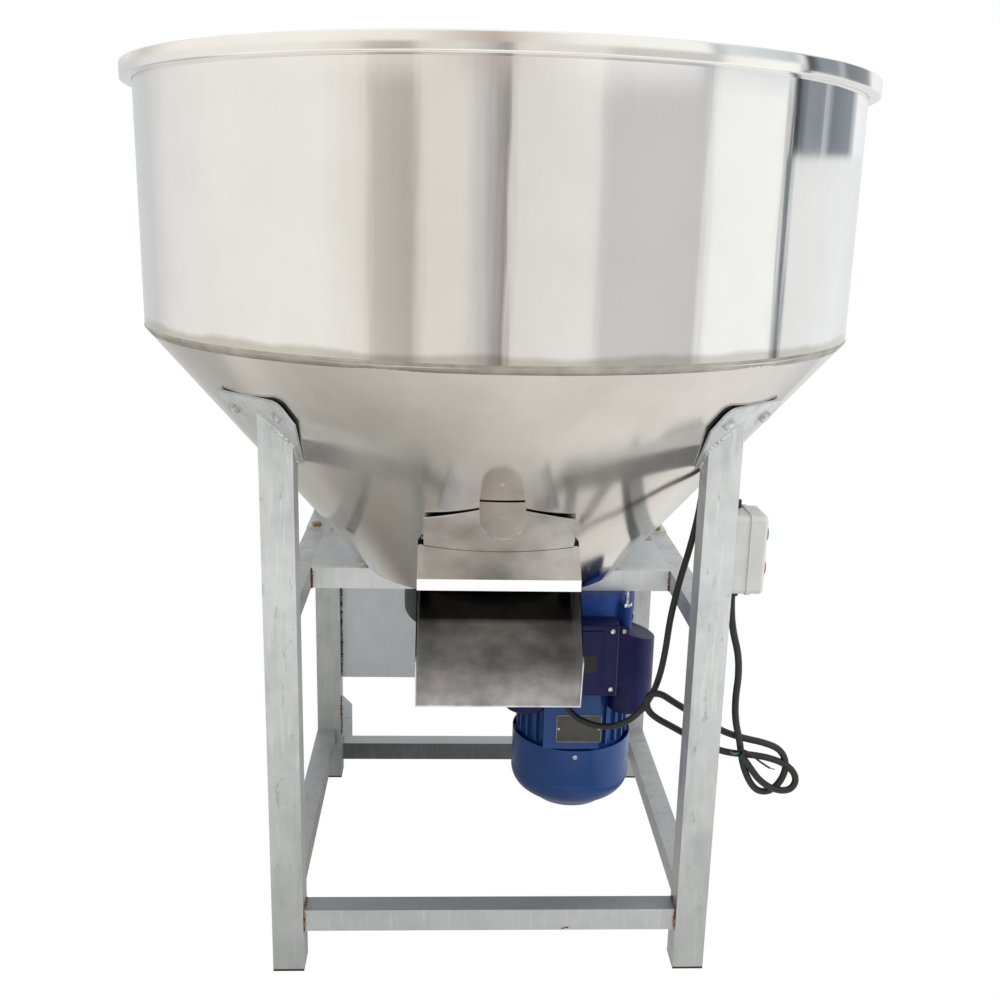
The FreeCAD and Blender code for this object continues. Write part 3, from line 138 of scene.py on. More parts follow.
# Materials
def stainless(name, light, dark, roughness, grain_mm, smudge_mm=90.0, bump=0.03, marks=0.35,
              hollow_shade_mm=0.0, waves=0.0, front_highlight=False, shade=None, tint=None):
    """Cold-rolled stainless sheet: a bright mirror blurred along a fine upright grain, patchy from handling.

    Painted shade darkens its hollows and, by height, its upward faces, welding leaves a straw tint
    beside a seam, and the faces turned to the front get a painted highlight.
    """
    made, tree, shader, place = material(name, metallic=1.0)
    across, along = per_metre(grain_mm), per_metre(grain_mm * 60)
    grain_place = add(tree, "Mapping", "Vector", Vector=place, Scale=(across, across, along))
    grain = add(tree, "TexNoise", "Fac", Vector=grain_place, Scale=1.0, Detail=3.0)
    cloud = add(tree, "TexNoise", "Fac", Vector=place, Scale=per_metre(smudge_mm), Detail=4.0, Roughness=0.55)
    spots = add(tree, "TexNoise", "Fac", Vector=place, Scale=per_metre(smudge_mm * 0.35), Detail=3.0)
    base = laid_over(tree, linear(dark), linear(light), cloud, 0.35, 0.68, 1.0 - marks)
    base = laid_over(tree, base, linear("#ffffff"), grain, 0.3, 0.7, 0.0, 0.06, "OVERLAY")
    facing = add(tree, "SeparateXYZ", Vector=add(tree, "NewGeometry", "True Normal"))
    height = add(tree, "SeparateXYZ", "Z", Vector=place)
    # Painted shade: ambient occlusion darkens the sheet to a brown-black where nearby parts close it in
    if hollow_shade_mm:
        open_sky = add(tree, "AmbientOcclusion", "AO", {"samples": 12}, Distance=mm(hollow_shade_mm))
        base = laid_over(tree, base, linear("#2a2724"), open_sky, 0.05, 0.55, 0.9, 0.0)
    if tint:
        wander = add(tree, "MapRange", "Result", Value=cloud, From_Min=0.3, From_Max=0.7,
                     To_Min=mm(-3), To_Max=mm(3))
        ragged = add(tree, "Math", 0, {"operation": "ADD"}, s0=height, s1=wander)
        base = laid_over(tree, base, linear("#ddd9d3"), ragged, tint[0], tint[1], 1.0, 0.0, "MULTIPLY")
    # Painted highlight: faces turned to the front are laid over with white
    if front_highlight:
        base = laid_over(tree, base, linear("#ffffff"), facing["Y"], -0.96, -0.93, 1.0, 0.0)
    # Painted shade: upward faces darken by height along the given colour stops
    if shade:
        low, high, stops = shade
        rise = add(tree, "MapRange", "Result", Value=height, From_Min=low, From_Max=high)
        deep = add(tree, "ValToRGB", "Color", stops=stops, Fac=rise)
        base = laid_over(tree, base, deep, facing["Z"], 0.4, 0.6, blend="MULTIPLY")
    fingered = add(tree, "MapRange", "Result", Value=spots, From_Min=0.35, From_Max=0.7,
                   To_Min=-0.02 * marks, To_Max=0.05 * marks)
    rolled = add(tree, "MapRange", "Result", Value=grain, From_Min=0.3, From_Max=0.7,
                 To_Min=roughness - 0.015, To_Max=roughness + 0.015)
    relief = add(tree, "Bump", "Normal", Strength=bump, Distance=mm(0.3), Height=grain)
    if waves:
        # The mill's rolls leave waves 45 mm wide and 625 mm long
        roll_place = add(tree, "Mapping", "Vector", Vector=place, Scale=(22.0, 22.0, 1.6))
        roll = add(tree, "TexNoise", "Fac", Vector=roll_place, Scale=1.0, Detail=3.0)
        relief = add(tree, "Bump", "Normal", Strength=waves, Distance=mm(1.0), Height=roll, Normal=relief)
    rough = add(tree, "Math", 0, {"operation": "ADD"}, s0=fingered, s1=rolled)
    tree.links.new(base, shader.inputs["Base Color"])
    tree.links.new(rough, shader.inputs["Roughness"])
    tree.links.new(relief, shader.inputs["Normal"])
    return made


def galvanised(name, light="#dddfdf", dark="#c5c8c8", streak="#f2f3f2", low="#8f9393", scuffed=0.55,
               top=None):
    """Hot-dip galvanised steel: pale dull zinc with soft spangles and white runs down the tube.

    Handling scuffs it grey, it darkens towards its foot, and its top face can take a colour of its own
    that is painted light.
    """
    made, tree, shader, place = material(name, metallic=0.45)
    spangle = add(tree, "TexVoronoi", "Color", {"feature": "SMOOTH_F1"}, Vector=place, Scale=per_metre(14))
    tone = add(tree, "SeparateColor", 0, Color=spangle)
    cloud = add(tree, "TexNoise", "Fac", Vector=place, Scale=per_metre(70), Detail=5.0, Roughness=0.6)
    # The runs are 4 mm wide and 62 mm long, the scuffs 11 by 36 mm, and the dull patches 29 by 143 mm
    run_place = add(tree, "Mapping", "Vector", Vector=place, Scale=(240.0, 240.0, 16.0))
    runs = add(tree, "TexNoise", "Fac", Vector=run_place, Scale=1.0, Detail=4.0)
    pits = add(tree, "TexNoise", "Fac", Vector=place, Scale=per_metre(2.5), Detail=3.0, Roughness=0.7)
    scuff_place = add(tree, "Mapping", "Vector", Vector=place, Scale=(90.0, 90.0, 28.0))
    scuff = add(tree, "TexNoise", "Fac", Vector=scuff_place, Scale=1.0, Detail=6.0, Roughness=0.7)
    patch_place = add(tree, "Mapping", "Vector", Vector=place, Scale=(34.0, 34.0, 7.0))
    patch = add(tree, "TexNoise", "Fac", Vector=patch_place, Scale=1.0, Detail=7.0, Roughness=0.65)
    base = laid_over(tree, linear(dark), linear(light), cloud, 0.3, 0.7)
    base = laid_over(tree, base, linear(streak), tone, 0.2, 0.8, 0.0, 0.12)
    base = laid_over(tree, base, linear(streak), runs, 0.56, 0.72, 0.0, 0.45)
    base = laid_over(tree, base, linear("#8e9294"), pits, 0.64, 0.78, 0.0, 0.22)
    base = laid_over(tree, base, linear("#74787a"), scuff, 0.60, 0.70, 0.0, scuffed)
    base = laid_over(tree, base, linear("#9a9e9f"), patch, 0.52, 0.66, 0.0, scuffed * 0.6)
    height = add(tree, "SeparateXYZ", "Z", Vector=place)
    base = laid_over(tree, base, linear(low), height, mm(20), mm(500), 0.55, 0.0)
    # Painted light: the top face gets its own colour, painted shade on the front lower rail, lighter than the
    # painted shade of the rear rail's sides
    if top:
        facing = add(tree, "SeparateXYZ", "Z", Vector=add(tree, "NewGeometry", "Normal"))
        base = laid_over(tree, base, linear(top), facing, 0.6, 0.9, 0.0, 0.85)
    relief = add(tree, "Bump", "Normal", Strength=0.08, Distance=mm(0.3), Height=pits)
    surfaced(tree, shader, base, cloud, 0.42, 0.5, relief)
    return made


def enamel(name, colour, wear, roughness, peel_mm, chipped=0.0):
    """Sprayed enamel over a casting or pressing: glossy with slight orange peel and darker dusty patches."""
    made, tree, shader, place = material(name, specular=0.35)
    shader.inputs["Coat Weight"].default_value = 0.12
    shader.inputs["Coat Roughness"].default_value = 0.15
    cloud = add(tree, "TexNoise", "Fac", Vector=place, Scale=per_metre(45), Detail=4.0)
    peel = add(tree, "TexNoise", "Fac", Vector=place, Scale=per_metre(peel_mm), Detail=2.0)
    base = laid_over(tree, linear(colour), linear(wear), cloud, 0.4, 0.75, 0.0, 0.45)
    if chipped:
        chips = add(tree, "TexNoise", "Fac", Vector=place, Scale=per_metre(6), Detail=5.0, Roughness=0.7)
        base = laid_over(tree, base, linear("#8f979c"), chips, 0.70, 0.74, 0.0, chipped)
    relief = add(tree, "Bump", "Normal", Strength=0.10, Distance=mm(0.3), Height=peel)
    surfaced(tree, shader, base, cloud, roughness - 0.05, roughness + 0.08, relief)
    return made


def moulded(name, colour, shade, roughness, texture_mm=0.8, bump=0.08, specular=0.5):
    """Moulded plastic or rubber: even colour with a fine eroded texture and faint handling marks."""
    made, tree, shader, place = material(name, specular=specular)
    cloud = add(tree, "TexNoise", "Fac", Vector=place, Scale=per_metre(30), Detail=4.0)
    fine = add(tree, "TexNoise", "Fac", Vector=place, Scale=per_metre(texture_mm), Detail=2.0)
    base = laid_over(tree, linear(colour), linear(shade), cloud, 0.35, 0.7, 0.0, 0.6)
    relief = add(tree, "Bump", "Normal", Strength=bump, Distance=mm(0.15), Height=fine)
    surfaced(tree, shader, base, cloud, roughness - 0.05, roughness + 0.06, relief)
    return made


def painted_in_two(name, first, second, split_mm, roughness):
    """A rough casting in two colours, the second brushed over one end past a ragged line, and chipped."""
    made, tree, shader, place = material(name, specular=0.18)
    cloud = add(tree, "TexNoise", "Fac", Vector=place, Scale=per_metre(20), Detail=5.0)
    chips = add(tree, "TexNoise", "Fac", Vector=place, Scale=per_metre(7), Detail=5.0, Roughness=0.7)
    across = add(tree, "SeparateXYZ", "X", Vector=place)
    wander = add(tree, "MapRange", "Result", Value=cloud, To_Min=mm(-9), To_Max=mm(9))
    ragged = add(tree, "Math", 0, {"operation": "ADD"}, s0=across, s1=wander)
    base = laid_over(tree, linear(first), linear(second), ragged, mm(split_mm - 1), mm(split_mm + 1))
    base = laid_over(tree, base, linear("#15204a"), cloud, 0.45, 0.75, 0.0, 0.4)
    base = laid_over(tree, base, linear("#8b98ab"), chips, 0.66, 0.70, 0.0, 0.5)
    relief = add(tree, "Bump", "Normal", Strength=0.25, Distance=mm(0.4), Height=chips)
    surfaced(tree, shader, base, cloud, roughness - 0.06, roughness + 0.1, relief)
    return made


def plated(name, colour, shade, roughness):
    """Plated or machined metal: bright, with a faint mottle a few millimetres across."""
    made, tree, shader, place = material(name, metallic=1.0)
    cloud = add(tree, "TexNoise", "Fac", Vector=place, Scale=per_metre(4), Detail=4.0)
    base = laid_over(tree, linear(colour), linear(shade), cloud, 0.35, 0.7)
    surfaced(tree, shader, base, cloud, roughness, roughness + 0.15)
    return made


def weld_metal(name, colour, stain, amount):
    """A welded bead: rippled steel, galvanised or heat-stained, with rust or soot in its hollows."""
    made, tree, shader, place = material(name, metallic=0.7)
    cloud = add(tree, "TexNoise", "Fac", Vector=place, Scale=per_metre(9), Detail=5.0, Roughness=0.65)
    low, high = 0.65 - amount * 0.35, 0.75 - amount * 0.3
    base = laid_over(tree, linear(colour), linear(stain), cloud, low, high)
    relief = add(tree, "Bump", "Normal", Strength=0.5, Distance=mm(0.5), Height=cloud)
    surfaced(tree, shader, base, cloud, 0.3, 0.6, relief)
    return made


# Stainless: the wall is a near mirror with a straw tint from welding above the seam, the cone is duller with
# painted shade in its hollows under its brackets, the rim is polished, the chute and its tray are brushed and
# fingered, the chute's front faces carry a painted highlight, and the tray's upward faces a painted shade
# darkest at the top
wall_metal = stainless("stainless_2b_rolled", "#ecebe9", "#dddcd9", 0.05, 0.8, waves=0.5,
                       tint=(seam_height + mm(9), seam_height + mm(15)))
cone_metal = stainless("stainless_cone_rolled", "#dfdcd7", "#bfbbb4", 0.13, 0.8, 130.0, marks=0.5,
                       hollow_shade_mm=26.0, waves=0.12)
rim_metal = stainless("stainless_polished", "#f0eeea", "#dedbd6", 0.10, 1.2, 120.0, 0.02)
chute_metal = stainless("stainless_brushed_chute", "#dcdbd9", "#c0beba", 0.2, 0.7, 45.0, marks=0.8, front_highlight=True)
# Painted shade on the tray: its upward faces run from white at the mouth to near black under the hood
tray_shade = (mm(398), mm(482), [
    (0.0, "#ffffff"), (0.3, "#f2efec"), (0.62, "#dcd7d1"), (0.76, "#b0aaa3"), (0.82, "#33302d"),
    (1.0, "#161514")])
tray_metal = stainless("stainless_worn_and_shaded_tray", "#f6f8fc", "#c4c5ca", 0.33, 0.7, 30.0, marks=1.0,
                       shade=tray_shade)
ground_weld = stainless("stainless_ground_weld", "#c0bbb3", "#a39d94", 0.38, 1.5, 30.0, 0.25, marks=1.0)
inner_metal = stainless("stainless_mixing_arms", "#c9c6c0", "#aaa69f", 0.30, 0.9, 40.0)

# Galvanised: matt pale zinc, whiter on the cross rail, greyer on the front lower rail with painted shade on
# its top face, nearly plain on the sheets; the rear lower rail is a dark copy in painted shade but for its
# lighter top face
zinc_tube = galvanised("galvanised_tube")
zinc_sheet = galvanised("galvanised_sheet", "#e4e9eb", "#d5dbde", "#eef1f2", "#b9c0c3", 0.15)
zinc_cross = galvanised("galvanised_cross_rail", "#f4f6f6", "#e0e3e4", "#ffffff", "#e0e3e4", 0.3)
zinc_rail = galvanised("galvanised_lower_rail", "#ced1d2", "#afb2b4", "#eceeee", "#b4b7b8", 0.6, "#8d9295")
# Painted shade: the rear lower rail is a darkened copy of the zinc, its top face left lighter
shaded_rear_rail = galvanised("galvanised_rear_rail", "#7b7f81", "#5f6365", "#94989a", "#5c5f61", 0.6, "#b4b7b8")

# Enamel: a soft gloss over cast and pressed metal, chipped to bare metal on the castings
case_paint = painted_in_two("green_and_blue_enamel_cast_iron", "#272f2a", "#2a4c96", 40.0, 0.42)
blue_cast = enamel("blue_enamel_cast_aluminium", "#183378", "#11214c", 0.36, 2.0, chipped=0.5)
blue_sheet = enamel("blue_enamel_pressed_steel", "#1c437f", "#173668", 0.34, 3.0)

# Plastics and rubber: even colours with a satin, finely textured face
blue_plastic = moulded("dark_blue_abs", "#0b0f4a", "#080b3a", 0.4, specular=0.3)
grey_plastic = moulded("light_grey_abs", "#c8c8c4", "#bbbbb6", 0.42)
green_plastic = moulded("green_button_plastic", "#1c8a3c", "#187a35", 0.3)
red_plastic = moulded("red_button_plastic", "#c01d1a", "#a81917", 0.3)
black_plastic = moulded("black_nylon", "#1b1b1c", "#141415", 0.5)
black_rubber = moulded("black_rubber", "#1a1a1a", "#242424", 0.6, 1.0, 0.12)
cable_sheath = moulded("black_rubber_cable", "#181818", "#26282a", 0.45, 1.2, 0.10)
green_core = moulded("green_core_pvc", "#157a4a", "#12633d", 0.4)
name_plate_paint = moulded("black_printed_aluminium", "#4a4a46", "#3a3a37", 0.35, 0.5, 0.05)

# Plated, machined and bare metal: small bright pieces that catch the light
zinc_bolt = plated("bright_zinc_plating", "#eeefef", "#a9adb0", 0.17)
yellow_bolt = plated("yellow_passivated_zinc", "#b9a464", "#8b7a48", 0.35)
machined = plated("machined_steel", "#a6a6a4", "#86878a", 0.32)
copper = plated("bare_copper_strands", "#c9825a", "#a8623f", 0.35)
bare_plate = plated("brushed_aluminium_plate", "#9a9c97", "#7f817c", 0.35)

# Welds: lumpy beads, painted with zinc at the leg tops, bare or rusted elsewhere
zinc_weld = weld_metal("galvanised_weld_bead", "#a4a8aa", "#5d5249", 0.15)
rust_weld = weld_metal("rusted_weld_bead", "#97948e", "#7a4524", 0.75)
dark_zinc_weld = weld_metal("dull_weld_bead", "#8a8d8e", "#3d3935", 0.6)
white_weld = weld_metal("zinc_painted_weld_bead", "#dcdedf", "#5c5a57", 0.25)


# Mesh helpers
def new_object(name, mesh, finish):
    """A new piece that rides the stand."""
    made = bpy.data.objects.new(name, mesh)
    bpy.context.scene.collection.objects.link(made)
    mesh.materials.append(finish)
    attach(made, "root")
    return made


def to_mesh(name, work, sharp_degrees):
    """The worked shape as a mesh: faces turned outwards, smooth but for its sharp edges."""
    bmesh.ops.recalc_face_normals(work, faces=work.faces)
    mesh = bpy.data.meshes.new(name)
    work.to_mesh(mesh)
    work.free()
    mesh.shade_smooth()
    mesh.set_sharp_from_angle(angle=math.radians(sharp_degrees))
    return mesh


def join_rings(work, rings):
    """Faces between each closed ring of points and the next."""
    count = len(rings[0])
    for lower, upper in zip(rings, rings[1:]):
        for i in range(count):
            j = (i + 1) % count
            work.faces.new((lower[i], lower[j], upper[j], upper[i]))


def turns(count):
    """The angles of equal steps round a circle."""
    return [2 * math.pi * i / count for i in range(count)]


def round_point(radius, angle, height):
    """The point at a radius, an angle and a height about an upright axis."""
    return (radius * math.cos(angle), radius * math.sin(angle), height)


def lathe(name, profile, finish, wave, segments=256):
    """Turns a closed profile of (radius, height) pairs about the barrel's axis, dented by the wave."""
    work = bmesh.new()
    rings = []
    for radius, height in profile:
        circle = []
        for angle in turns(segments):
            spot = Vector(round_point(2.2, angle, height * 2.0))
            dent = wave * (noise.noise(spot) + 0.5 * noise.noise(spot * 2.3))
            circle.append(work.verts.new(round_point(radius + dent, angle, height)))
        rings.append(circle)
    join_rings(work, rings + rings[:1])
    return new_object(name, to_mesh(name, work, 32), finish)


def weld_bead(name, start, end, radius, finish, seed, ripple):
    """A rippled bead between two points, of uneven width, tapered at its ends."""
    random.seed(seed)
    step = mm(1.6)
    around = 7
    along = end - start
    count = max(4, int(along.length / step))
    direction = along.normalized()
    side = direction.orthogonal().normalized()
    up = direction.cross(side)
    work = bmesh.new()
    rings = []
    for i in range(count + 1):
        t = i / count
        swell = 1 + ripple * math.sin(i * 1.9) * 0.5 + random.uniform(-ripple, ripple) * 0.5
        fade = min(1.0, 6 * min(t, 1 - t) + 0.35)
        wander = side * random.uniform(-0.2, 0.2) * radius + up * random.uniform(-0.2, 0.2) * radius
        centre = start + along * t + wander
        size = radius * swell * fade
        ways = [side * math.cos(a) + up * math.sin(a) for a in turns(around)]
        rings.append([work.verts.new(centre + way * size) for way in ways])
    join_rings(work, rings)
    work.faces.new(rings[0])
    work.faces.new(rings[-1])
    return new_object(name, to_mesh(name, work, 60), finish)


def pan_screw(name, place, radius, finish=zinc_bolt):
    """A pan-head screw with a cross recess, facing the front."""
    segments = 20
    head = [(1.0, -0.3), (1.0, 0.25), (0.86, 0.52), (0.5, 0.66)]
    arm, notch, recess_floor = 0.34, 0.12, 0.25
    work = bmesh.new()
    rings = []
    for share, height in head:
        circle = [round_point(radius * share, angle, radius * height) for angle in turns(segments)]
        rings.append([work.verts.new(point) for point in circle])
    recess = []
    for i, angle in enumerate(turns(segments)):
        reach = arm if i % 5 == 0 else notch
        recess.append(work.verts.new(round_point(radius * reach, angle, radius * head[-1][1])))
    deep = [work.verts.new((v.co.x * 0.7, v.co.y * 0.7, radius * recess_floor)) for v in recess]
    join_rings(work, rings + [recess, deep])
    work.faces.new(rings[0])
    work.faces.new(deep)
    mesh = to_mesh(name, work, 30)
    to_front = Vector((0, -1, 0)).to_track_quat("Z", "Y").to_matrix().to_4x4()
    mesh.transform(Matrix.Translation(place) @ to_front)
    return new_object(name, mesh, finish)


def slab(name, low, high, finish, rounding):
    """A box with rounded edges, from its low corner to its high corner in millimetres."""
    work = bmesh.new()
    bmesh.ops.create_cube(work, size=1.0)
    middle_mm = [(a + b) / 2 for a, b in zip(low, high)]
    for vert in work.verts:
        vert.co = mm(*[m + c * (b - a) for m, c, a, b in zip(middle_mm, vert.co, low, high)])
    bmesh.ops.bevel(work, geom=work.edges[:], offset=mm(rounding), segments=2, affect="EDGES", profile=0.5)
    return new_object(name, to_mesh(name, work, 40), finish)


def stud(name, x, y, low, high, radius):
    """An upright threaded rod in millimetres, its pitch drawn as coarse as it needs to show."""
    half_pitch, root_share, around = 0.5, 0.88, 16
    count = int((high - low) / half_pitch)
    work = bmesh.new()
    rings = []
    for k in range(count + 1):
        centre = mm(x, y, low + (high - low) * k / count)
        size = mm(radius if k % 2 else radius * root_share)
        rings.append([work.verts.new(centre + Vector(round_point(size, a, 0))) for a in turns(around)])
    join_rings(work, rings)
    work.faces.new(rings[0])
    work.faces.new(rings[-1])
    return new_object(name, to_mesh(name, work, 30), zinc_bolt)


# Camera at the photograph's place, its angles in radians
picture_px = 1000.0
focal_px = 1144.3
shift_px = (-2.2, 1.8)
pitch, roll, yaw = 0.2531, 0.0248, 0.0482
camera_place = mm(-61.65, -1584.5, 974.1)
forward = Vector((math.sin(yaw) * math.cos(pitch), math.cos(yaw) * math.cos(pitch), -math.sin(pitch)))
level = Vector((math.cos(yaw), -math.sin(yaw), 0))
upright = level.cross(forward)
right = math.cos(roll) * level + math.sin(roll) * upright
above = -math.sin(roll) * level + math.cos(roll) * upright
camera_data = bpy.data.cameras.new("camera")
camera_data.sensor_width = 36.0
camera_data.lens = focal_px / picture_px * camera_data.sensor_width
camera_data.shift_x = shift_px[0] / picture_px
camera_data.shift_y = shift_px[1] / picture_px
camera_data.clip_start, camera_data.clip_end = 0.05, 50.0
camera = bpy.data.objects.new("camera", camera_data)
bpy.context.scene.collection.objects.link(camera)
camera_turn = Matrix((right, above, -forward)).transposed()
camera.matrix_world = Matrix.Translation(camera_place) @ camera_turn.to_4x4()
bpy.context.scene.camera = camera


# Cords: smooth lines through listed points, in metres
def cord_curve(name, points, diameter, finish):
    """A round cord along its points, which rides the stand."""
    data = bpy.data.curves.new(name, "CURVE")
    data.dimensions = "3D"
    data.bevel_depth = diameter / 2
    data.bevel_resolution = 5
    data.resolution_u = 10
    data.use_fill_caps = True
    spline = data.splines.new("NURBS")
    spline.points.add(len(points) - 1)
    for point, place in zip(spline.points, points):
        point.co = (*place, 1.0)
    spline.order_u = 3
    spline.use_endpoint_u = True
    made = bpy.data.objects.new(name, data)
    bpy.context.scene.collection.objects.link(made)
    data.materials.append(finish)
    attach(made, "root")
    return made


# The motor lead: out of the box's top, over, and down behind the leg to the terminal box
lead_length, lead_diameter = 0.5587, mm(8.6)
lead_route = [
    (0.2925, -0.227, 0.62), (0.2925, -0.226, 0.641), (0.286, -0.222, 0.654), (0.274, -0.215, 0.66),
    (0.262, -0.209, 0.653), (0.256, -0.204, 0.634), (0.254, -0.199, 0.6), (0.247, -0.195, 0.556),
    (0.237, -0.19, 0.508), (0.229, -0.187, 0.458), (0.226, -0.185, 0.41), (0.22, -0.182, 0.368),
    (0.209, -0.178, 0.336), (0.191, -0.172, 0.309), (0.168, -0.163, 0.292), (0.146, -0.149, 0.286),
    (0.126, -0.132, 0.286), (0.112, -0.115, 0.291), (0.105, -0.1095, 0.303), (0.105, -0.1085, 0.322)]
lead_piece = cord_curve("motor_lead_cable", lead_route, lead_diameter, cable_sheath)
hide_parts("motor_lead")

# The power cord: down from the box, then two loose loops in a hank behind the leg, and a bare end
cord_length, cord_diameter = 0.938, mm(9)
cord_route = [
    (0.2925, -0.243, 0.52), (0.2935, -0.243, 0.491), (0.299, -0.241, 0.46), (0.309, -0.237, 0.43),
    (0.313, -0.233, 0.398), (0.312, -0.229, 0.365), (0.315, -0.226, 0.332), (0.324, -0.224, 0.301),
    (0.329, -0.223, 0.272), (0.34, -0.2225, 0.244), (0.354, -0.222, 0.227), (0.373, -0.2215, 0.228),
    (0.387, -0.221, 0.247), (0.39, -0.2205, 0.269), (0.38, -0.219, 0.288), (0.358, -0.2165, 0.296),
    (0.333, -0.213, 0.3), (0.308, -0.2105, 0.307), (0.282, -0.208, 0.32), (0.256, -0.205, 0.336),
    (0.2345, -0.203, 0.349), (0.2205, -0.2012, 0.358), (0.207, -0.2005, 0.358), (0.2015, -0.2005, 0.346),
    (0.2055, -0.2008, 0.332), (0.2175, -0.202, 0.3225), (0.234, -0.2035, 0.314), (0.257, -0.207, 0.302),
    (0.284, -0.211, 0.288), (0.312, -0.215, 0.28), (0.339, -0.219, 0.28), (0.367, -0.221, 0.276),
    (0.392, -0.223, 0.266), (0.405, -0.224, 0.248), (0.398, -0.225, 0.231), (0.377, -0.226, 0.231),
    (0.354, -0.227, 0.245), (0.337, -0.228, 0.269), (0.324, -0.229, 0.286)]
cord_piece = cord_curve("power_cord_cable", cord_route, cord_diameter, cable_sheath)
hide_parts("power_cord", "power_hank")

# The stripped end: a black core that curls out of the sheath to its copper tip, and a short green core
core_diameter, strand_diameter = mm(2.6), mm(1.6)
black_core = [
    (0.324, -0.229, 0.286), (0.3205, -0.23, 0.2895), (0.3235, -0.2315, 0.2935), (0.332, -0.2325, 0.2915),
    (0.344, -0.233, 0.2815), (0.355, -0.233, 0.273), (0.364, -0.233, 0.2675)]
black_strands = [black_core[-1], (0.367, -0.233, 0.2662), (0.3705, -0.233, 0.2655)]
green_path = [
    (0.324, -0.229, 0.286), (0.3205, -0.23, 0.2875), (0.3165, -0.231, 0.2862), (0.3135, -0.2315, 0.288)]
green_strands = [green_path[-1], (0.312, -0.2315, 0.289), (0.3108, -0.2315, 0.2902)]
cord_curve("power_cord_black_core", black_core, core_diameter, cable_sheath)
cord_curve("power_cord_black_copper", black_strands, strand_diameter, copper)
cord_curve("power_cord_green_core", green_path, core_diameter, green_core)
cord_curve("power_cord_green_copper", green_strands, strand_diameter, copper)


# Barrel: the wall, the rim and the cone as round skins with the dents of rolled sheet
def heights(low, high, count):
    """The heights of equal steps from low to high."""
    return [low + (high - low) * i / count for i in range(count + 1)]


wall_top = barrel_top - mm(14)
wall_outside = [(barrel_radius, height) for height in heights(seam_height, wall_top, 20)]
wall_inside = [(barrel_radius - sheet, height) for _, height in reversed(wall_outside)]
wall_skin = lathe("barrel_wall_skin", wall_outside + wall_inside, wall_metal, mm(0.35))
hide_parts("barrel_wall")

# The rim: the wall's top folded outwards and rolled down into a flat-faced channel with rounded corners
rim_round = mm(2.0)
rim_sheet = mm(1.2)
rim_wall = rim_radius - mm(1.6)


def rim_corner(height, start, count=5):
    """A rounded corner of the rim, from its last angle back to its start."""
    corner = []
    for i in reversed(range(count + 1)):
        angle = math.radians(start + 90 * i / count)
        radius = rim_radius - rim_round + rim_round * math.cos(angle)
        corner.append((radius, height + rim_round * math.sin(angle)))
    return corner


inside_edge = barrel_radius - sheet - rim_sheet
inside_foot = barrel_top - mm(9.2)
rim_profile = [(inside_edge, inside_foot), (inside_edge, barrel_top - mm(3)),
               (inside_edge + mm(1), barrel_top - mm(0.8)), (inside_edge + mm(3), barrel_top)]
rim_profile += rim_corner(barrel_top - rim_round, 0)
rim_profile += rim_corner(rim_bottom + rim_round, -90)
rim_profile += [(barrel_radius + mm(0.3), rim_bottom), (barrel_radius + mm(0.3), rim_bottom + rim_sheet),
                (rim_radius - rim_round, rim_bottom + rim_sheet), (rim_wall, rim_bottom + rim_round),
                (rim_wall, barrel_top - rim_round), (rim_radius - rim_round, barrel_top - rim_sheet),
                (inside_edge + mm(2.6), barrel_top - rim_sheet), (inside_edge + rim_sheet, inside_foot)]
rim_skin = lathe("barrel_rim_skin", rim_profile, rim_metal, mm(0.15))
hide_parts("barrel_rim")

# The cone, with the outlet left open at the front
outlet_half = mm(84)
outlet_low, outlet_high = mm(497), mm(563)
outlet_rows = 3


def cone_ring(work, height, inward, segments, opened):
    """A ring of the cone's points, of which the first ones span the outlet."""
    radius = cone_radius(height) - inward
    outlet_height = min(max(height, outlet_low), outlet_high)
    half = math.asin(min(1.0, outlet_half / cone_radius(outlet_height)))
    made = []
    for i in range(segments):
        if i <= opened:
            from_front = -half + 2 * half * i / opened
        else:
            from_front = half + (2 * math.pi - 2 * half) * (i - opened) / (segments - opened)
        angle = from_front - math.pi / 2
        dent = mm(0.5) * noise.noise(Vector(round_point(3, angle, height * 4)))
        made.append(work.verts.new(round_point(radius + dent, angle, height)))
    return made


def cone_mesh(name, segments=240, opened=40):
    """The cone's sheet, outside and inside, closed at its edges and round the outlet."""
    levels = heights(cone_bottom, outlet_low, 1) + heights(outlet_low, outlet_high, outlet_rows)[1:]
    levels += heights(outlet_high, seam_height, 16)[1:]
    work = bmesh.new()
    outer = [cone_ring(work, height, 0.0, segments, opened) for height in levels]
    inner = [cone_ring(work, height, cone_sheet, segments, opened) for height in levels]
    outlet_levels = range(1, 1 + outlet_rows)
    for side in (outer, inner):
        for k in range(len(levels) - 1):
            for i in range(segments):
                if k in outlet_levels and i < opened:
                    continue
                j = (i + 1) % segments
                work.faces.new((side[k][i], side[k][j], side[k + 1][j], side[k + 1][i]))
    for k in (0, len(levels) - 1):
        for i in range(segments):
            j = (i + 1) % segments
            work.faces.new((outer[k][i], outer[k][j], inner[k][j], inner[k][i]))
    for k in (1, 1 + outlet_rows):
        for i in range(opened):
            work.faces.new((outer[k][i], outer[k][i + 1], inner[k][i + 1], inner[k][i]))
    for i in (0, opened):
        for k in outlet_levels:
            work.faces.new((outer[k][i], outer[k + 1][i], inner[k + 1][i], inner[k][i]))
    return to_mesh(name, work, 40)


cone_skin = new_object("barrel_cone_skin", cone_mesh("barrel_cone_skin"), cone_metal)
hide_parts("barrel_cone")

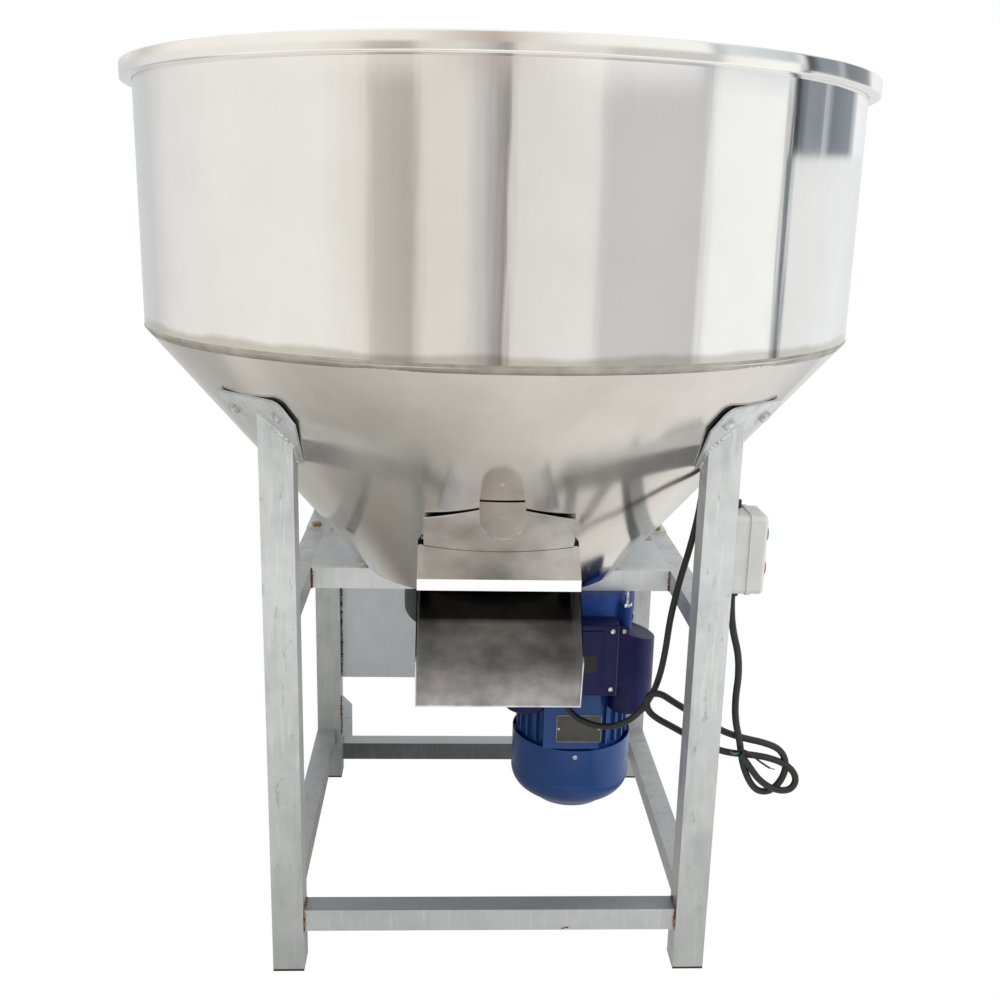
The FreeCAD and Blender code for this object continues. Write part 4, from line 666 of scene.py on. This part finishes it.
# The ground weld between wall and cone
weld_foot = seam_height - mm(6.5)
weld_knee = seam_height - mm(2.5)
weld_head = seam_height + mm(3.2)
weld_profile = [
    (cone_radius(weld_foot) - mm(0.8), weld_foot - mm(0.4)), (cone_radius(weld_foot) + mm(0.25), weld_foot),
    (cone_radius(weld_knee) + mm(0.5), weld_knee), (barrel_radius + mm(0.45), seam_height + mm(0.8)),
    (barrel_radius + mm(0.3), weld_head), (barrel_radius - mm(1.0), weld_head + mm(0.6))]
lathe("cone_seam_ground", weld_profile, ground_weld, mm(0.3))

# Welds of the frame, in millimetres: beads round the leg tops and at the ends of the rails, some rusted
leg_outer_x, leg_inner_x = 282.5, 242.5
leg_outer_y, leg_inner_y = 281.5, 241.5
leg_high, leg_mid, leg_low = 737.7, 703.8, 669.9
bead = 0
for side_x in (-1, 1):
    for side_y in (-1, 1):
        corner = mm(side_x * leg_outer_x, side_y * leg_outer_y, leg_high)
        along_x = mm(side_x * leg_inner_x, side_y * leg_outer_y, leg_mid)
        along_y = mm(side_x * leg_outer_x, side_y * leg_inner_y, leg_mid)
        inner = mm(side_x * leg_inner_x, side_y * leg_inner_y, leg_low)
        blob = corner.lerp(along_x, 0.42)
        for start, end, radius in [(corner, along_x, 1.7), (corner, along_y, 1.7), (along_x, inner, 2.2),
                                   (along_y, inner, 2.2), (blob, along_x, 3.3)]:
            bead += 1
            weld_bead("leg_weld_%d" % bead, start, end, mm(radius), white_weld, bead, 0.55)

# Each rail's end: its name, place, lower and upper edge, whether it runs across, and its weld
rail_ends = [
    ("front_rail", 242.5, -277.5, 57, 87, True, rust_weld),
    ("rear_rail", 242.5, 251.5, 30, 60, True, zinc_weld),
    ("side_rail_front", 252.5, -241.5, 62, 92, False, zinc_weld),
    ("side_rail_rear", 252.5, 241.5, 62, 92, False, zinc_weld),
    ("upper_rail_front", 252.5, -241.5, 450, 480, False, zinc_weld),
    ("upper_rail_rear", 252.5, 241.5, 450, 480, False, zinc_weld),
    ("cross_front", 252.5, -55, 450, 480, True, rust_weld),
    ("cross_rear", 252.5, 57, 450, 480, True, zinc_weld)]
rail_width = 30
bead_sunk = 0.9
for name, x, y, low, high, across, finish in rail_ends:
    for side_x in (-1, 1):
        bead += 1
        bead_x = side_x * (x - bead_sunk)
        bead_y = y - bead_sunk if across else y - bead_sunk * (1 if y > 0 else -1)
        weld_bead("%s_weld_%d" % (name, bead), mm(bead_x, bead_y, low), mm(bead_x, bead_y, high), mm(1.9),
                  finish, bead, 0.6)
        if name in ("front_rail", "rear_rail"):
            bead += 1
            weld_bead("%s_top_weld_%d" % (name, bead), mm(bead_x, y, high + 0.5),
                      mm(bead_x, y + rail_width, high + 0.5), mm(1.5), finish, bead, 0.5)
for side_x in (-1, 1):
    bead += 1
    guard_edge = side_x * 241.7
    weld_bead("guard_weld_%d" % bead, mm(guard_edge, 256.5, 186), mm(guard_edge, 256.5, 427), mm(2.0),
              dark_zinc_weld, bead, 0.9)
weld_bead("front_rail_rust_mark", mm(93, -277.7, 58.5), mm(104, -277.7, 62), mm(0.8), rust_weld, 92, 0.9)
weld_bead("earth_lug_weld", mm(-241.9, 242.4, 80), mm(-241.9, 242.4, 154), mm(1.6), rust_weld, 91, 0.7)

# The terminal box's raised panel and blank label, its screws, and the cover's ear
slab("terminal_lid_panel", (90, -133.2, 336), (153, -130.8, 418), blue_plastic, 0.9)
slab("terminal_lid_label", (112, -133.6, 358), (144, -133.0, 383), black_plastic, 0.15)
for number, (x, z) in enumerate([(163.6, 417.9), (164.1, 333.1), (88.0, 417.9), (88.0, 333.1)]):
    pan_screw("terminal_lid_screw_%d" % number, mm(x, -131.2, z), mm(3.7))
slab("capacitor_cover_ear", (177, -99.4, 392), (191, -93.0, 413), blue_plastic, 1.8)
pan_screw("capacitor_cover_screw", mm(184, -99.6, 406), mm(3.5))
pan_screw("fan_cowl_screw", mm(124.4, -88.1, 208.4), mm(3.8))

# The nameplate, left blank, with a bright border and two rivets
plate_left, plate_right, plate_foot, plate_head = 96, 161, 231, 273
plate_face, plate_back = -86.8, -85.9
border, border_face, border_back = 1.2, -87.1, -86.6
slab("name_plate", (plate_left, plate_face, plate_foot), (plate_right, plate_back, plate_head),
     name_plate_paint, 0.3)
for left, right_edge, foot, head in [
        (plate_left, plate_right, plate_foot, plate_foot + border),
        (plate_left, plate_right, plate_head - border, plate_head),
        (plate_left, plate_left + border, plate_foot, plate_head),
        (plate_right - border, plate_right, plate_foot, plate_head)]:
    slab("name_plate_border_%d_%d" % (left, foot), (left, border_face, foot), (right_edge, border_back, head),
         bare_plate, 0.1)
for x in (99.5, 157.5):
    pan_screw("name_plate_rivet_%d" % x, mm(x, plate_face, (plate_foot + plate_head) / 2), mm(1.9))

# Threaded studs that stand out of the nuts above the motor's lugs, in millimetres
motor_axis_x = 127
stud_circle, stud_angle = 93.5, math.radians(47)
stud_x = motor_axis_x + stud_circle * math.cos(stud_angle)
stud_y = stud_circle * math.sin(stud_angle)
for side, y in (("front", -stud_y), ("rear", stud_y)):
    stud("motor_stud_%s" % side, stud_x, y, 436, 455, 2.9)

# Finishes of the pieces that keep their own shape
tubes = ["leg_front_left", "leg_front_right", "leg_rear_left", "leg_rear_right", "lower_rail_left",
         "lower_rail_right", "upper_rail_left", "upper_rail_right", "cross_rail_rear"]
brackets = ["bracket_front_left", "bracket_front_right", "bracket_rear_left", "bracket_rear_right"]
finishes = {
    zinc_tube: tubes + brackets,
    zinc_rail: ["lower_rail_front"],
    zinc_cross: ["cross_rail_front"],
    shaded_rear_rail: ["lower_rail_rear"],
    zinc_sheet: ["rear_guard", "rear_shelf", "mounting_plate", "earth_lug"],
    zinc_bolt: ["bracket_bolts", "drive_bolts"],
    yellow_bolt: ["shelf_bolts"],
    chute_metal: ["gate_plate", "gate_guides", "chute_hood"],
    tray_metal: ["chute_tray"],
    cone_metal: ["barrel_floor"],
    inner_metal: ["mixer_hub", "mixer_arms"],
    machined: ["output_shaft", "output_gear", "layshaft", "layshaft_gear", "stator", "motor_rotor",
               "shaft_bearings"],
    case_paint: ["gearcase_body", "gearcase_cover"],
    blue_cast: ["motor_flange"],
    blue_sheet: ["motor_housing", "fan_cowl"],
    blue_plastic: ["terminal_box", "terminal_lid", "capacitor_cover_left", "capacitor_cover_right"],
    grey_plastic: ["switch_box_base", "switch_box_cover"],
    green_plastic: ["start_button"],
    red_plastic: ["stop_button"],
    black_plastic: ["foot_caps", "fan"],
    black_rubber: ["shaft_seal", "cord_grommets"]}
for finish, names in finishes.items():
    for name in names:
        node = nodes[name]
        node.data.materials.clear()
        node.data.materials.append(finish)


def round_edges(names, width):
    """Rounds the sharp edges of these pieces."""
    for name in names:
        bevel = nodes[name].modifiers.new("round", "BEVEL")
        bevel.width = width
        bevel.segments = 3
        bevel.limit_method = "ANGLE"
        bevel.angle_limit = math.radians(40)
        bevel.harden_normals = True


round_edges(tubes + ["cross_rail_front", "lower_rail_front", "lower_rail_rear"], mm(1.2))
round_edges(brackets + ["rear_guard"], mm(0.5))
round_edges(["terminal_box", "terminal_lid", "switch_box_base", "switch_box_cover"], mm(0.7))

# Stage: a floor that is white to the eye, and in a reflection glows with a painted shadow, dark near the
# stand, and a painted grey behind it
floor_half = 1.8
floor_corners = [(-floor_half, -floor_half, 0), (floor_half, -floor_half, 0), (floor_half, floor_half, 0),
                 (-floor_half, floor_half, 0)]
floor_mesh = bpy.data.meshes.new("floor")
floor_mesh.from_pydata(floor_corners, [], [(0, 1, 2, 3)])
floor = bpy.data.objects.new("floor", floor_mesh)
bpy.context.scene.collection.objects.link(floor)
floor_paint = bpy.data.materials.new("studio_floor")
floor_paint.use_nodes = True
floor_tree = floor_paint.node_tree
floor_shader = floor_tree.nodes["Principled BSDF"]
floor_shader.inputs["Base Color"].default_value = linear("#e9e9e8")
floor_shader.inputs["Roughness"].default_value = 0.6
floor_place = add(floor_tree, "TexCoord", "Object")
floor_parts = add(floor_tree, "SeparateXYZ", Vector=floor_place)
away = add(floor_tree, "VectorMath", "Value", {"operation": "DISTANCE"}, s0=floor_place, s1=mm(-300, 150, 0))
outward = add(floor_tree, "MapRange", "Result", Value=away, From_Max=floor_half)
# Painted shadow: in reflections the floor glows darkest round a point under the stand and whitens outwards
painted_floor_shadow = add(floor_tree, "ValToRGB", "Color", Fac=outward, stops=[
    (0.0, "#8b8883"), (0.185, "#afaca6"), (0.34, "#e2dfd9"), (0.4, "#f3f0ec"), (0.6, "#faf8f5"),
    (1.0, "#ffffff")])
# Painted grey: behind the stand the reflected floor is greyer, more so on the left
left_far = laid_over(floor_tree, painted_floor_shadow, linear("#c6c5c1"), floor_parts["Y"], 0.15, 0.5)
right_far = laid_over(floor_tree, painted_floor_shadow, linear("#d9d9db"), floor_parts["Y"], 0.5, 1.4)
painted_floor_shadow = laid_over(floor_tree, left_far, right_far, floor_parts["X"], -0.3, 0.3)
floor_ray = add(floor_tree, "LightPath")
mirrored = add(floor_tree, "Emission", 0, Color=painted_floor_shadow, Strength=1.0)
white = add(floor_tree, "Emission", 0, Color=linear("#ffffff"), Strength=1.0)
lit = floor_shader.outputs[0]
reflected = add(floor_tree, "MixShader", 0, Fac=floor_ray["Is Glossy Ray"], s1=lit, s2=mirrored)
shown = add(floor_tree, "MixShader", 0, Fac=floor_ray["Is Camera Ray"], s1=reflected, s2=white)
floor_tree.links.new(shown, floor_tree.nodes["Material Output"].inputs["Surface"])
floor_mesh.materials.append(floor_paint)

# The room: white to the eye, and in a reflection bands by bearing, with taller ones above a sill
world = bpy.data.worlds.new("studio")
bpy.context.scene.world = world
world.use_nodes = True
room = world.node_tree
room.nodes.clear()
way = add(room, "SeparateXYZ", Vector=add(room, "TexCoord", "Generated"))
front = add(room, "Math", 0, {"operation": "MULTIPLY"}, s0=way["Y"], s1=-1.0)
bearing = add(room, "Math", 0, {"operation": "ARCTAN2"}, s0=way["X"], s1=front)
turned = add(room, "MapRange", "Result", Value=bearing, From_Min=-math.pi, From_Max=math.pi)
low_bands = add(room, "ValToRGB", "Color", Fac=turned, stops=[
    (0.0, "#c8c9cb"), (0.12, "#c6c7c8"), (0.165, "#dcdbd9"), (0.25, "#e6e5e1"), (0.345, "#e9e7e2"),
    (0.385, "#dcd9d3"), (0.392, "#bfbcb5"), (0.425, "#aeaba3"), (0.434, "#d8d5cf"), (0.465, "#d9d6d0"),
    (0.484, "#b9b8b6"), (0.493, "#a3a09d"), (0.500, "#8d8784"), (0.505, "#dad8d4"), (0.57, "#e0dedb"),
    (0.580, "#c6c5c3"), (0.63, "#c9c8c6"), (0.664, "#c4c4c4"), (0.674, "#f0f1f0"), (0.747, "#f4f5f4"),
    (0.753, "#70767c"), (0.758, "#7b8187"), (0.763, "#e4e5e6"), (0.86, "#e6e8e9"), (1.0, "#c8c9cb")])
high_bands = add(room, "ValToRGB", "Color", Fac=turned, stops=[
    (0.0, "#c4c8cc"), (0.11, "#dcdbd9"), (0.15, "#c9c4bd"), (0.2, "#ebe9e4"), (0.36, "#f2efe9"),
    (0.43, "#e8e4de"), (0.488, "#b8aba4"), (0.52, "#dfdad4"), (0.56, "#f3f2ee"), (0.655, "#f0f2f2"),
    (0.665, "#aeb5bb"), (0.675, "#d6dbde"), (0.745, "#bcc4c9"), (0.752, "#ffffff"), (0.758, "#1d2228"),
    (0.764, "#4a5057"), (0.775, "#8c939a"), (0.80, "#858c93"), (0.806, "#c0c5c9"), (0.815, "#767d84"),
    (0.86, "#8a9198"), (0.875, "#eceef0"), (1.0, "#c4c8cc")])
window_bearing = 0.752
sill, window_sill = 0.11, 0.045
sill_blur, window_blur = 0.02, 0.003
past_window = add(room, "Math", 0, {"operation": "GREATER_THAN"}, s0=turned, s1=window_bearing)
sill_height = add(room, "MapRange", "Result", Value=past_window, To_Min=sill, To_Max=window_sill)
blur = add(room, "MapRange", "Result", Value=past_window, To_Min=sill_blur, To_Max=window_blur)
above_sill = add(room, "Math", 0, {"operation": "SUBTRACT"}, s0=way["Z"], s1=sill_height)
over_sill = add(room, "Math", 0, {"operation": "DIVIDE"}, s0=above_sill, s1=blur)
dome = laid_over(room, low_bands, high_bands, over_sill, -1.0, 1.0)
dome = laid_over(room, dome, linear("#f4f4f2"), way["Z"], 0.25, 0.9)
far_floor = laid_over(room, linear("#bfbeba"), linear("#dbdbdd"), way["X"], -0.3, 0.3)
far_floor = laid_over(room, linear("#ffffff"), far_floor, way["Y"], -0.1, 0.2)
dome = laid_over(room, dome, far_floor, way["Z"], -0.27, -0.19, 1.0, 0.0)
side_light = add(room, "MapRange", "Result", Value=way["X"], From_Min=-1.0, To_Min=0.32, To_Max=1.05)
soft = add(room, "Background", 0, Color=linear("#e9e9e9"), Strength=side_light)
shine = add(room, "Background", 0, Color=dome, Strength=1.2)
plain = add(room, "Background", 0, Color=linear("#ffffff"), Strength=1.0)
room_ray = add(room, "LightPath")
lighting = add(room, "MixShader", 0, Fac=room_ray["Is Glossy Ray"], s1=soft, s2=shine)
backdrop = add(room, "MixShader", 0, Fac=room_ray["Is Camera Ray"], s1=lighting, s2=plain)
add(room, "OutputWorld", Surface=backdrop)


def lamp(name, place, width, height, watts):
    """A soft white lamp that looks at the middle of the mixer and doesn't show in reflections."""
    middle = Vector((0, 0, 0.6))
    data = bpy.data.lights.new(name, "AREA")
    data.shape = "RECTANGLE"
    data.size, data.size_y = width, height
    data.energy = watts
    made = bpy.data.objects.new(name, data)
    bpy.context.scene.collection.objects.link(made)
    facing = (middle - place).to_track_quat("-Z", "Y").to_matrix().to_4x4()
    made.matrix_world = Matrix.Translation(place) @ facing
    made.visible_glossy = False


lamp("top_light", Vector((0.2, -1.0, 3.4)), 2.6, 2.6, 50)
lamp("front_light", Vector((-0.8, -3.4, 1.6)), 1.6, 2.0, 16)
lamp("right_light", Vector((2.6, -1.2, 1.5)), 1.6, 2.0, 34)

bpy.context.scene.view_settings.view_transform = "Standard"
